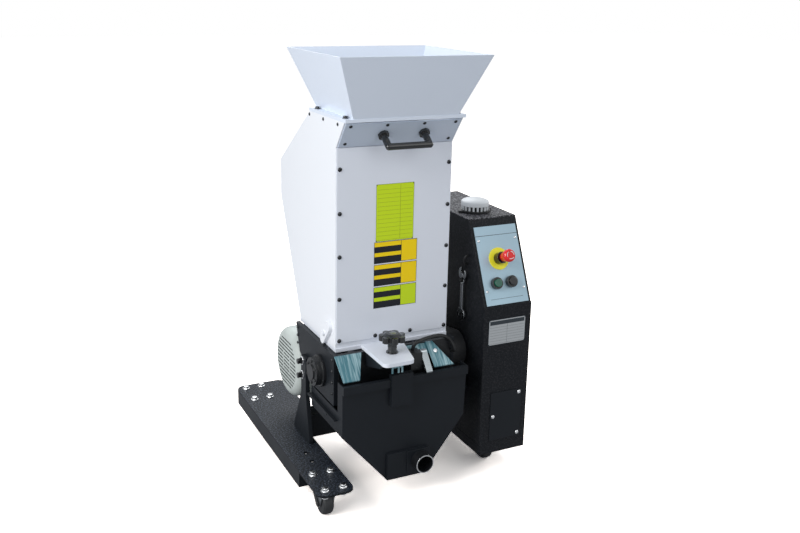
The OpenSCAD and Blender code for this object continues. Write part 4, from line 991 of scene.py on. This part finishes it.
def lights():
    softbox("left_softbox", (-2.8, -0.9, 2.0), (0, 0, 0.6), 1.8, 74)
    softbox("front_softbox", (0.9, -3.2, 2.4), (0, 0, 0.6), 2.2, 16)
    softbox("right_softbox", (2.8, -0.2, 1.6), (0, 0, 0.5), 1.4, 18)
    softbox("rear_softbox", (0.6, 2.6, 3.0), (0, 0, 0.4), 2.2, 60, (0.95, 0.97, 1.0))


def pale_world():
    """Even light, with a white backdrop for the camera and for reflections."""
    world = bpy.data.worlds.new("studio")
    world.use_nodes = True
    bpy.context.scene.world = world
    nodes, links = world.node_tree.nodes, world.node_tree.links
    nodes.clear()
    rays = nodes.new("ShaderNodeLightPath")
    light = nodes.new("ShaderNodeBackground")
    light.inputs["Color"].default_value = (*SKY_LIGHT, 1.0)
    light.inputs["Strength"].default_value = 0.46
    seen = nodes.new("ShaderNodeBackground")
    seen.inputs["Color"].default_value = (1, 1, 1, 1)
    seen.inputs["Strength"].default_value = 1.0
    direct = nodes.new("ShaderNodeMath")
    direct.operation = "MAXIMUM"
    links.new(rays.outputs["Is Camera Ray"], direct.inputs[0])
    links.new(rays.outputs["Is Transmission Ray"], direct.inputs[1])
    also = nodes.new("ShaderNodeMath")
    also.operation = "MULTIPLY_ADD"
    also.inputs[1].default_value = 0.5
    links.new(rays.outputs["Is Glossy Ray"], also.inputs[0])
    links.new(direct.outputs[0], also.inputs[2])
    mix = nodes.new("ShaderNodeMixShader")
    out = nodes.new("ShaderNodeOutputWorld")
    links.new(also.outputs[0], mix.inputs[0])
    links.new(light.outputs[0], mix.inputs[1])
    links.new(seen.outputs[0], mix.inputs[2])
    links.new(mix.outputs[0], out.inputs["Surface"])


def floor():
    """Pale floor that shows white to the camera but keeps the shadow."""
    bm = bmesh.new()
    bmesh.ops.create_grid(bm, x_segments=1, y_segments=1, size=20)
    mesh = bpy.data.meshes.new("floor")
    bm.to_mesh(mesh)
    bm.free()
    made = bpy.data.objects.new("floor", mesh)
    bpy.context.scene.collection.objects.link(made)
    f = Finish("floor_white", FLOOR_WHITE, 0.9)
    rays = f.add("ShaderNodeLightPath", output="Is Camera Ray")
    glow = f.add("ShaderNodeEmission", None, {"Color": (1.0, 1.0, 1.0), "Strength": 1.0})
    matt = f.add("ShaderNodeBsdfDiffuse", None, {"Color": FLOOR_SEEN})
    seen = f.add("ShaderNodeMixShader", None, {0: 0.10, 1: matt, 2: glow})
    mixed = f.add("ShaderNodeMixShader", None, {0: rays, 1: Wire(f, f.shader.outputs[0]), 2: seen})
    f.tree.links.new(mixed.socket, f.tree.nodes["Material Output"].inputs["Surface"])
    mesh.materials.append(f.material)


camera()
lights()
pale_world()
floor()
for node, (finish, radius) in DRESS.items():
    if radius:
        softened(node, finish, radius)
    else:
        repaint(node, finish)
hopper_centre = sum(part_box("hopper_throat"), Vector()) / 2
frame_centre = Vector((0, 0, 0))
fasteners("hopper_screws", "hopper_fasteners", "screw_black", hopper_centre)
fasteners("frame_bolts", "base_bolts", "bolt_steel", frame_centre, hatch_of_three)
label_films()
nameplate()
control_plate()
panel_screws()
stop_marks()
clamp_bush()
outlet_rim()
side_plate_bolts()
upright_bolts()
lock_clasp()
rear_chute()
slope_screws()
interlock_cable()

bpy.context.scene.view_settings.view_transform = "Standard"
